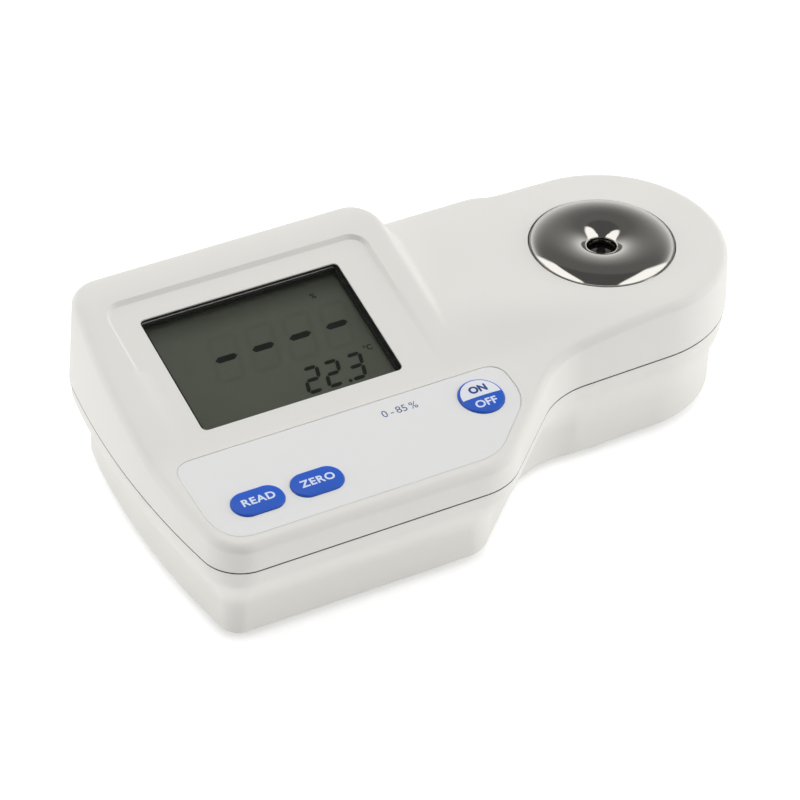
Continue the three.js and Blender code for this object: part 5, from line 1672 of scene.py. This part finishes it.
@dataclass
class Keypad:
    """The keypad film and its three keys."""

    workshop: Workshop
    case: Case
    keys: Sequence[Key] = (
        Key("key_read", Body.READ, (-74.6, -36.2), 15.0, 4.3),
        Key("key_zero", Body.ZERO, (-57.2, -36.2), 15.0, 4.3),
        Key("key_on_off", Body.POWER, (-1.9, -25.6), 12.8, 6.4),
    )
    corners: Sequence[Pair] = (
        (-89.9, -15.8), (-89.9, -40.0), (-85.0, -46.6), (-7.95, -46.6), (9.0, -30.5), (9.0, -15.8),
    )
    pull: float = 6.0
    thickness: float = 0.5
    film_edge: float = 0.3
    slit: float = 0.06
    gap: float = 0.12
    rise: float = 0.9
    crown: float = 0.28
    edge: float = 0.55
    flange_top: float = -3.28
    flange_bottom: float = -4.28
    flange_border: float = 1.0
    plunger: Pair = (1.6, -4.88)
    plunger_sides: int = 32
    word_size: float = 3.5
    long_key_word: float = 3.35
    range_at: Pair = (-24.5, -21.2)
    field_margin: float = 0.65
    field_split: float = -0.35
    film_grid: float = 6.0
    face_grid: float = 1.1
    under_grid: float = 3.0
    edge_rows: int = 5

    def film_loop(self, grow: float) -> Array:
        """Edge of the film in the keypad's own frame, moved outwards by a distance.

        Args:
            grow: the distance.

        Returns:
            The loop.
        """
        face = self.case.keypad_face
        places = [np.array(face.local(x, y)) for x, y in self.corners]
        path: list[Array] = []
        for i, at in enumerate(places):
            ends = []
            for other in (places[i - 1], places[(i + 1) % len(places)]):
                reach = float(np.linalg.norm(other - at))
                ends.append(at + (other - at) * min(self.pull / reach, 0.5))
            for share in np.linspace(0.0, 1.0, 11):
                path.append((1 - share) ** 2 * ends[0] + 2 * share * (1 - share) * at + share**2 * ends[1])
        return grown(evened(np.array(path), 1.0), grow)

    def place(self, key: Key) -> Matrix:
        """A key's own frame, on the keypad's face."""
        x, y = self.case.keypad_face.local(*key.at)
        return self.case.keypad_face.place @ Matrix.Translation((x, y, 0.0))

    def hole(self, key: Key, grow: float) -> Array:
        """Edge of a key's hole in the keypad's own frame."""
        loop = half_rounds(key.length + 2.0 * grow, key.radius + grow)
        return loop + np.array(self.case.keypad_face.local(*key.at))

    def build(self) -> None:
        """Make the film and the keys with their words."""
        self.film()
        for key in self.keys:
            self.cap(key)
        self.words()

    def film(self) -> None:
        """The film, flush in its recess, with a soft edge."""
        draft = Draft()
        low = self.film_loop(0.0)
        holes = [self.hole(key, self.gap) for key in self.keys]
        sheet = Sheet.fill([grown(low, -self.film_edge), *holes], range(1, 1 + len(holes)), self.film_grid)
        top, bottom = draft.lay(sheet, 0.0), draft.lay(sheet, -self.thickness)
        side = draft.ring(low, -self.thickness), draft.ring(low, -self.film_edge * 0.8)
        draft.tower([bottom[0], *side, top[0]])
        for high_rim, low_rim in zip(top[1:], bottom[1:]):
            draft.bridge(high_rim, low_rim)
        self.workshop.piece(
            "keypad_film", draft, PRINTED_FILM, Body.CASE, ["keypad_overlay"], self.case.keypad_face.place,
            slot="film_grey",
        )

    def surface(self, key: Key) -> Surface:
        """Height of a key's slightly domed face, in its own frame.

        Args:
            key: the key.

        Returns:
            A function of the place on the face.
        """
        reach = key.length / 2.0 - key.radius

        def height(x: Array, y: Array) -> Array:
            """Height of the face at a point."""
            away = np.hypot(np.maximum(np.abs(x) - reach, 0.0), y) / key.radius
            return self.rise + self.crown * (1.0 - np.clip(away, 0.0, 1.0) ** 2) - self.crown

        return height

    def cap(self, key: Key) -> None:
        """A key's cap with its hidden flange and plunger.

        Args:
            key: the key.
        """
        draft = Draft()
        loop = half_rounds(key.length, key.radius)
        wide = grown(loop, self.flange_border)
        shoulder = self.rise - self.crown
        rows = [
            draft.ring(wide, self.flange_bottom), draft.ring(wide, self.flange_top),
            draft.ring(loop, self.flange_top), draft.ring(loop, shoulder - self.edge),
        ]
        for k in range(1, self.edge_rows + 1):
            turn = QUARTER * k / self.edge_rows
            plan = grown(loop, -self.edge * (1.0 - math.cos(turn)))
            rows.append(draft.ring(plan, shoulder - self.edge * (1.0 - math.sin(turn))))
        draft.tower(rows)
        face = Sheet.fill([grown(loop, -self.edge)], [], self.face_grid)
        height = self.surface(key)(face.plan[:, 0], face.plan[:, 1])
        height[face.loops[0]] = shoulder
        draft.lay(face, height)
        radius, low = self.plunger
        pin = circle(radius, (0.0, 0.0), self.plunger_sides)
        under = draft.lay(Sheet.fill([wide, pin], [1], self.under_grid), self.flange_bottom)
        tip = draft.ring(pin, low)
        draft.bridge(under[1], tip)
        draft.lid(tip)
        self.workshop.piece(
            key.name + "_cap", draft, KEY_BLUE, key.body, [key.name], self.place(key), slot="key_blue"
        )

    def words(self) -> None:
        """Print the words on the keys and the range on the film."""
        print_shop = Lettering(self.workshop)
        read, zero, power = (Ground(key.body, self.place(key), self.surface(key)) for key in self.keys)
        for name, words, ground in (("key_read", "READ", read), ("key_zero", "ZERO", zero)):
            print_shop.text(
                name + "_word", words, self.long_key_word, (0.1, -0.15), LEGEND_WHITE, ground, bold=0.1,
                stretch=1.09, spacing=1.1,
            )
        radius = self.keys[2].radius - self.field_margin
        start = math.asin(self.field_split / radius)
        turn = np.linspace(start, math.pi - start, 44)
        half = np.column_stack([radius * np.cos(turn), radius * np.sin(turn)])
        print_shop.patch("key_on_off_field", half, FIELD_WHITE, power)
        print_shop.text(
            "key_on_off_on", "ON", self.word_size, (0.1, 2.2), LEGEND_NAVY, power, bold=0.14, stretch=0.96,
            lift=0.05,
        )
        print_shop.text(
            "key_on_off_off", "OFF", self.word_size, (-0.15, -3.1), LEGEND_WHITE, power, bold=0.09,
            stretch=1.08,
        )
        face = self.case.keypad_face
        print_shop.text(
            "film_range", "0 - 85 %", self.word_size, face.local(*self.range_at), LEGEND_BLUE,
            Ground(Body.CASE, face.place, flat_surface(0.0)), word_space=0.7,
        )


# Prints


def flat_surface(height: float) -> Surface:
    """A flat surface at one height.

    Args:
        height: the height.

    Returns:
        A function of the place on the surface.
    """

    def flat(x: Array, y: Array) -> Array:
        """The height, the same at every point."""
        return np.full_like(x, height)

    return flat


@dataclass(frozen=True)
class Ground:
    """What a print lies on: a body, the frame of a surface, and the surface's height in that frame."""

    body: Body
    place: Matrix
    surface: Surface


@dataclass
class Lettering:
    """Prints words and patches as thin layers on a surface."""

    workshop: Workshop
    sunk: float = 0.04
    layer: float = 0.02
    spacing: float = 0.16
    word_grid: float = 60.0
    patch_grid: float = 0.9

    def ink(self, draft: Draft, sheet: Sheet, ground: Ground, lift: float) -> None:
        """Add one printed area.

        Args:
            draft: the draft to add to.
            sheet: the area.
            ground: what it lies on.
            lift: height over another print below it.
        """
        height = ground.surface(sheet.plan[:, 0], sheet.plan[:, 1])
        top = draft.lay(sheet, height + self.layer + lift)
        bottom = draft.lay(sheet, height - self.sunk)
        for low, high in zip(bottom, top):
            draft.bridge(low, high)

    def text(
        self, name: str, words: str, size: float, at: Pair, finish: Finish, ground: Ground,
        stretch: float = 1.0, bold: float = 0.0, lift: float = 0.0, spacing: float = 1.0,
        word_space: float = 1.0,
    ) -> None:
        """Print words on a surface.

        Args:
            name: the piece's name.
            words: what it says.
            size: size of the letters.
            at: middle of the words, in the frame of the surface.
            finish: the ink.
            ground: what they are printed on.
            stretch: how much wider than plain the letters are.
            bold: how far the edges of the strokes move outwards.
            lift: height over another print below it.
            spacing: width of the letters' steps, against plain.
            word_space: width of the spaces between words, against plain.
        """
        scale = np.array([size * stretch, size])
        loops = [loop * scale + np.array(at) for loop in self.outlines(words, spacing, word_space)]
        depth = [
            sum(other is not loop and bool(inside(other, loop[:1])[0]) for other in loops) for loop in loops
        ]
        turned = []
        for loop, level in zip(loops, depth):
            x, y = loop[:, 0], loop[:, 1]
            area = float(np.sum(x * np.roll(y, -1) - y * np.roll(x, -1)))
            forward = loop if (area > 0.0) == (level % 2 == 0) else loop[::-1]
            turned.append(grown(evened(forward, self.spacing), bold))
        draft = Draft()
        for loop, level in zip(turned, depth):
            if level % 2:
                continue
            within = [other for other, under in zip(turned, depth) if under == level + 1]
            holes = [other for other in within if inside(loop, other[:1])[0]]
            sheet = Sheet.fill([loop, *holes], range(1, 1 + len(holes)), self.word_grid)
            self.ink(draft, sheet, ground, lift)
        self.workshop.piece(name, draft, finish, ground.body, place=ground.place)

    def outlines(self, words: str, spacing: float, word_space: float) -> list[Array]:
        """Closed outlines of the letters of some words, one unit high and centred.

        Args:
            words: what to print.
            spacing: share of the font's own letter spacing.
            word_space: share of its space between words.

        Returns:
            One loop for each outline.
        """
        curve = bpy.data.curves.new("letters", "FONT")
        curve.body = words
        curve.align_x = "CENTER"
        curve.align_y = "CENTER"
        curve.space_character = spacing
        curve.space_word = word_space
        curve.fill_mode = "NONE"
        curve.resolution_u = 4
        mesh = evaluated(put("letters", curve))
        links: dict[int, list[int]] = {}
        for edge in mesh.edges:
            one, other = edge.vertices
            links.setdefault(one, []).append(other)
            links.setdefault(other, []).append(one)
        loops: list[Array] = []
        while links:
            here = next(iter(links))
            chain: list[int] = []
            while here in links:
                chain.append(here)
                here = next((step for step in links.pop(here) if step in links), -1)
            loops.append(np.array([mesh.vertices[i].co[:2] for i in chain]))
        bpy.data.meshes.remove(mesh)
        return loops

    def patch(self, name: str, loop: Array, finish: Finish, ground: Ground) -> None:
        """Print a filled patch on a surface.

        Args:
            name: the piece's name.
            loop: its edge.
            finish: the ink.
            ground: what it is printed on.
        """
        draft = Draft()
        self.ink(draft, Sheet.fill([evened(loop, 0.5)], [], self.patch_grid), ground, 0.0)
        self.workshop.piece(name, draft, finish, ground.body, place=ground.place)


# The display


@dataclass
class Display:
    """What the unlit display shows, on the face of its glass."""

    workshop: Workshop
    case: Case
    glass_top: float = -3.2
    sunk: float = 0.02
    layer: float = 0.03
    lean: float = math.radians(14.0)
    dash: Pair = (7.0, 14.6)
    dash_width: float = 2.0
    big: Pair = (7.4, 14.6)
    big_width: float = 1.5
    small: Pair = (3.9, 7.8)
    small_width: float = 1.15
    dash_centres: Sequence[float] = (-58.5, -47.4, -36.1, -24.9)
    dash_y: float = 13.5
    digit_centres: Sequence[float] = (-39.8, -33.6, -26.6)
    digit_y: float = -1.1
    point: Triple = (-30.3, 3.9, 0.55)
    clear: float = 0.14
    segments: ClassVar[dict[str, str]] = {"2": "abged", "3": "abgcd", "8": "abcdefg", "-": "g"}

    def bar(self, start: Pair, end: Pair, width: float) -> Array:
        """A segment with pointed ends between two points.

        Args:
            start: one end.
            end: the other.
            width: its width.

        Returns:
            Its outline.
        """
        first, last = np.array(start), np.array(end)
        along = (last - first) / np.linalg.norm(last - first)
        side = np.array([-along[1], along[0]]) * width / 2.0
        tip = along * width / 2.0
        first, last = first + along * self.clear, last - along * self.clear
        return np.array([
            first, first + tip - side, last - tip - side, last, last - tip + side, first + tip + side,
        ])

    def digit(self, text: str, centre: Pair, size: Pair, width: float) -> list[Array]:
        """The segments of one digit.

        Args:
            text: the digit or a dash.
            centre: its middle.
            size: width and height between the middles of its outer segments.
            width: width of a segment.

        Returns:
            The outline of each segment.
        """
        w, h = size[0] / 2.0, size[1] / 2.0
        corner = {
            "a": ((-w, h), (w, h)), "g": ((-w, 0.0), (w, 0.0)), "d": ((-w, -h), (w, -h)),
            "f": ((-w, 0.0), (-w, h)), "b": ((w, 0.0), (w, h)),
            "e": ((-w, -h), (-w, 0.0)), "c": ((w, -h), (w, 0.0)),
        }
        slant = math.tan(self.lean)
        out = []
        for letter in self.segments[text]:
            loop = self.bar(*corner[letter], width)
            loop = np.column_stack([loop[:, 0] + loop[:, 1] * slant, loop[:, 1]])
            out.append(loop + np.array(centre))
        return out

    def plates(self, name: str, loops: Sequence[Array], finish: Finish, layer: float) -> None:
        """Lay thin plates on the glass, one for each outline.

        Args:
            name: the piece's name.
            loops: the outlines.
            finish: what they are made of.
            layer: how far they stand over the glass.
        """
        draft = Draft()
        for loop in loops:
            draft.block(loop, self.glass_top - self.sunk, self.glass_top + layer)
        self.workshop.piece(name, draft, finish, Body.CASE, place=self.case.display_face.place)

    def build(self) -> None:
        """Make the marks and the faint unlit segments behind them."""
        local = self.case.display_face.local
        dashes: list[Array] = []
        ghosts: list[Array] = []
        for x in self.dash_centres:
            at = local(x, self.dash_y)
            dashes.extend(self.digit("-", at, self.dash, self.dash_width))
            ghosts.extend(self.digit("8", at, self.big, self.big_width))
        for text, x in zip("223", self.digit_centres):
            dashes.extend(self.digit(text, local(x, self.digit_y), self.small, self.small_width))
        x, drop, radius = self.point
        dot = circle(radius, local(x, self.digit_y - drop), 20)
        self.plates("display_marks", [*dashes, dot], DISPLAY_MARK, self.layer)
        self.plates("display_unlit_segments", ghosts, DISPLAY_GHOST, self.layer * 0.5)
        glass = Ground(Body.CASE, self.case.display_face.place, flat_surface(self.glass_top))
        print_shop = Lettering(self.workshop)
        for name, words, size, at in (
            ("display_degree_unit", "°C", 2.5, (-20.6, 3.4)),
            ("display_share_unit", "%", 2.6, (-26.5, 24.6)),
        ):
            print_shop.text(name, words, size, local(*at), DISPLAY_MARK, glass, bold=0.04)


# The sample well


@dataclass
class Well:
    """The polished well over the prism."""

    workshop: Workshop
    radius: float = 20.67
    rim: float = 16.7
    crown_radius: float = 13.5
    crown: float = 19.4
    hole_radius: float = 3.9
    hole_edge: float = 16.2
    funnel: float = 0.6
    flange_bottom: float = 15.2
    spigot: float = 15.7
    spigot_bottom: float = 11.5
    pocket: float = 9.3
    floor: float = 14.7
    bevel: float = 0.25
    rolled: float = 0.35
    rolled_share: float = 0.03
    sides: int = 192

    def profile(self) -> list[Pair]:
        """Radius and height along the section, from the hole's edge round to it again.

        Returns:
            The section's points.
        """
        points: list[Pair] = []
        for share in np.linspace(0.0, 1.0, 33):
            drop = self.funnel * (1.0 - share) ** 2 + (1.0 - self.funnel) * (1.0 - share) ** 4
            lip = self.rolled * math.exp(-((share / self.rolled_share) ** 2))
            points.append((
                self.hole_radius + (self.crown_radius - self.hole_radius) * share,
                self.crown - lip - (self.crown - self.hole_edge) * drop,
            ))
        for share in np.linspace(0.0, 1.0, 25)[1:]:
            turn = QUARTER * share
            points.append((
                self.crown_radius + (self.radius - self.bevel - self.crown_radius) * math.sin(turn),
                self.rim + (self.crown - self.rim) * math.cos(turn),
            ))
        points.extend([
            (self.radius - self.bevel * 0.3, self.rim - self.bevel * 0.3),
            (self.radius, self.rim - self.bevel), (self.radius, self.flange_bottom),
            (self.spigot, self.flange_bottom), (self.spigot, self.spigot_bottom),
            (self.pocket, self.spigot_bottom), (self.pocket, self.floor), (self.hole_radius, self.floor),
        ])
        return points

    def build(self) -> None:
        """Turn the well from its section."""
        draft = Draft()
        rows = [draft.ring(circle(r, WELL_AT, self.sides), z) for r, z in self.profile()]
        draft.tower([*rows, rows[0]])
        self.workshop.piece(
            "sample_well_ring", draft, WELL_STEEL, Body.CASE, ["sample_well"], slot="well_steel"
        )


# Studio


@dataclass(frozen=True)
class Lamp:
    """A soft square lamp, in metres and watts, that isn't mirrored in the instrument.

    A table lamp is a sheet of light that lies on the floor and shines up.
    """

    name: str
    at: Triple
    size: float
    power: float
    table: bool = False

    def hang(self, target: Vector) -> None:
        """Hang the lamp so that it faces the target.

        Args:
            target: the middle of the instrument.
        """
        light = bpy.data.lights.new(self.name, "AREA")
        light.shape = "SQUARE"
        light.size = self.size
        light.energy = self.power
        lamp = put(self.name, light)
        lamp.location = self.at
        aim = Vector((0.0, 0.0, -1.0)) if self.table else Vector(self.at) - target
        lamp.rotation_euler = aim.to_track_quat("Z", "Y").to_euler()
        lamp.visible_camera = False
        lamp.visible_glossy = False


@dataclass
class Studio:
    """Camera, floor and light."""

    workshop: Workshop
    target: Triple = (-0.01527, -0.00517, 0.0285)
    distance: float = 0.98995
    azimuth: float = math.radians(-30.0)
    elevation: float = math.radians(38.6)
    roll: float = math.radians(2.18)
    lens: float = 163.0
    room_light: float = 0.77
    shade: float = 0.03
    shade_from: Triple = (-0.62, -0.74, 0.26)
    shade_edge: float = 0.2
    floor_white: float = 0.5
    floor_reach: float = 3000.0
    floor_thickness: float = 2.0
    well: Triple = (0.0592, 0.01342, 0.047)
    canopy_reach: float = 1700.0
    canopy_rows: int = 24
    canopy_sides: int = 64
    screen_light: tuple[float, float, float, float] = (1.0, 0.98, 0.955, 1.0)
    lamps: Sequence[Lamp] = (
        Lamp("lamp_over", (0.0, 0.42, 1.3), 0.9, 6.7), Lamp("lamp_left", (-1.1, 0.5, 0.24), 0.7, 2.95),
        Lamp("lamp_front", (1.25, -0.42, 0.18), 0.9, 7.1),
        Lamp("lamp_table", (0.05, -0.3, 0.001), 1.2, 1.97, table=True),
    )

    def camera(self) -> None:
        """Set the camera at the photograph's angle."""
        a, e = self.azimuth, self.elevation
        back = Vector((math.sin(a) * math.cos(e), -math.cos(a) * math.cos(e), math.sin(e)))
        right = Vector((math.cos(a), math.sin(a), 0.0))
        up = back.cross(right)
        turned_right = right * math.cos(self.roll) + up * math.sin(self.roll)
        turned_up = up * math.cos(self.roll) - right * math.sin(self.roll)
        lens = bpy.data.cameras.new("studio_camera")
        lens.lens = self.lens
        lens.sensor_width = 36.0
        lens.clip_start = 0.01
        camera = put("studio_camera", lens)
        axes = Matrix((turned_right, turned_up, back)).transposed().to_4x4()
        camera.matrix_world = Matrix.Translation(Vector(self.target) + back * self.distance) @ axes
        bpy.context.scene.camera = camera

    def room(self) -> None:
        """White surroundings for the eye and for mirrors, and a light that dims to the front left."""
        world = bpy.data.worlds.new("studio_room")
        world.use_nodes = True
        tree = world.node_tree
        sky = tree.nodes["Background"]
        sky.inputs["Color"].default_value = WHITE
        path = add_node(tree, "ShaderNodeLightPath")
        rays = ("Is Camera Ray", "Is Glossy Ray", "Is Transmission Ray")
        camera, glossy, clear = (path.outputs[ray] for ray in rays)
        seen = add_node(tree, "ShaderNodeMath", {0: camera, 1: glossy}, operation="MAXIMUM")
        through = add_node(tree, "ShaderNodeMath", {0: seen, 1: clear}, operation="MAXIMUM")
        place = add_node(tree, "ShaderNodeTexCoord").outputs["Generated"]
        toward = add_node(
            tree, "ShaderNodeVectorMath", {0: place, 1: self.shade_from}, operation="DOT_PRODUCT"
        ).outputs["Value"]
        dim = add_node(
            tree, "ShaderNodeMapRange",
            {"Value": toward, "From Min": self.shade_edge, "To Min": self.room_light, "To Max": self.shade},
            interpolation_type="SMOOTHSTEP",
        )
        level = add_node(tree, "ShaderNodeMapRange", {"Value": through, "To Min": dim, "To Max": 1.0})
        tree.links.new(level.outputs["Result"], sky.inputs["Strength"])
        bpy.context.scene.world = world

    def floor(self) -> None:
        """A pale paper floor that is seen white and keeps the shadow."""
        draft = Draft()
        reach = self.floor_reach
        plan = np.array(oblong(-reach, reach, -reach, reach))
        draft.block(plan, -PARTING - self.floor_thickness, -PARTING)
        mesh = draft.mesh("studio_floor", Matrix.Identity(4))
        material = self.workshop.material(FLOOR_PAPER)
        tree = material.node_tree
        shader = tree.nodes["Principled BSDF"]
        camera = add_node(tree, "ShaderNodeLightPath").outputs["Is Camera Ray"]
        seen = add_node(tree, "ShaderNodeMath", {0: camera, 1: self.floor_white}, operation="MULTIPLY")
        tree.links.new(seen.outputs[0], shader.inputs["Emission Strength"])
        shader.inputs["Emission Color"].default_value = WHITE
        mesh.materials.append(material)
        made = put("studio_floor", mesh)

    def canopy(self) -> None:
        """A canopy that only polished surfaces mirror: two white screens in front, and dark cloth behind."""
        draft = Draft()
        reach = self.canopy_reach
        turns = np.linspace(math.radians(1.0), QUARTER - 0.03, self.canopy_rows)
        rings = [circle(reach * math.cos(turn), WELL_AT, self.canopy_sides) for turn in turns]
        rows = [draft.ring(ring, reach * math.sin(turn)) for ring, turn in zip(rings, turns)]
        draft.tower(rows)
        draft.lid(rows[-1])
        mesh = draft.mesh("studio_canopy", Matrix.Identity(4))
        mesh.flip_normals()
        material = self.workshop.material(CANOPY_CLOTH)
        shader = material.node_tree.nodes["Principled BSDF"]
        shader.inputs["Emission Color"].default_value = self.screen_light
        material.node_tree.links.new(self.screens(material.node_tree), shader.inputs["Emission Strength"])
        mesh.materials.append(material)
        made = put("studio_canopy", mesh)
        made.visible_camera = False
        made.visible_diffuse = False
        made.visible_shadow = False
        made.visible_transmission = False

    def screens(self, tree: NodeTree) -> NodeSocket:
        """Brightness of the canopy in each direction from the well.

        Args:
            tree: the canopy's material tree.

        Returns:
            The brightness.
        """
        place = add_node(tree, "ShaderNodeTexCoord").outputs["Object"]
        centred = add_node(tree, "ShaderNodeVectorMath", {0: place, 1: self.well}, operation="SUBTRACT")
        toward = add_node(tree, "ShaderNodeVectorMath", {0: centred}, operation="NORMALIZE")
        height = add_node(tree, "ShaderNodeSeparateXYZ", {"Vector": toward}).outputs["Z"]
        a = self.azimuth
        axes = {"behind": (-math.sin(a), math.cos(a), 0.0), "aside": (math.cos(a), math.sin(a), 0.0)}
        parts = {}
        for name, axis in axes.items():
            parts[name] = add_node(
                tree, "ShaderNodeVectorMath", {0: toward, 1: axis}, operation="DOT_PRODUCT"
            ).outputs["Value"]
        aside = add_node(tree, "ShaderNodeMath", {0: parts["aside"]}, operation="ABSOLUTE").outputs[0]
        steps = {}
        for name, value, low, high, first, last in (
            ("cloth", height, -0.1, 0.75, 1.0, 0.13), ("screen", aside, 0.39, 0.46, 0.08, 1.5),
            ("back", parts["behind"], 0.3, 0.42, 0.0, 1.0),
        ):
            steps[name] = add_node(
                tree, "ShaderNodeMapRange",
                {"Value": value, "From Min": low, "From Max": high, "To Min": first, "To Max": last},
                interpolation_type="SMOOTHSTEP",
            ).outputs["Result"]
        mix = {0: steps["back"], 2: steps["screen"], 3: steps["cloth"]}
        return add_node(tree, "ShaderNodeMix", mix, data_type="FLOAT").outputs[0]

    def build(self) -> None:
        """Set up the studio."""
        self.camera()
        self.room()
        self.floor()
        for lamp in self.lamps:
            lamp.hang(Vector(self.target))
        self.canopy()
        bpy.context.scene.view_settings.view_transform = "Standard"


def main() -> None:
    """Build, dress and light the instrument."""
    logging.basicConfig(level=logging.INFO, format="%(name)s %(message)s")
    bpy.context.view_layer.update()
    workshop = Workshop()
    case = Case(workshop)
    keypad = Keypad(workshop, case)
    underside = Underside(workshop)
    film = case.keypad_face.plan(keypad.film_loop(keypad.slit))
    holes = [case.keypad_face.plan(keypad.hole(key, keypad.gap)) for key in keypad.keys]
    case.upper(film, holes)
    case.window_edge()
    case.shell_seal()
    LowerCase(workshop, case).build(underside.feet, underside.screws)
    keypad.build()
    Display(workshop, case).build()
    Well(workshop).build()
    underside.build()
    for finish, names in NODE_FINISHES.items():
        for name in names:
            workshop.dress(name, finish)
    Studio(workshop).build()


if __name__ == "__main__":
    main()
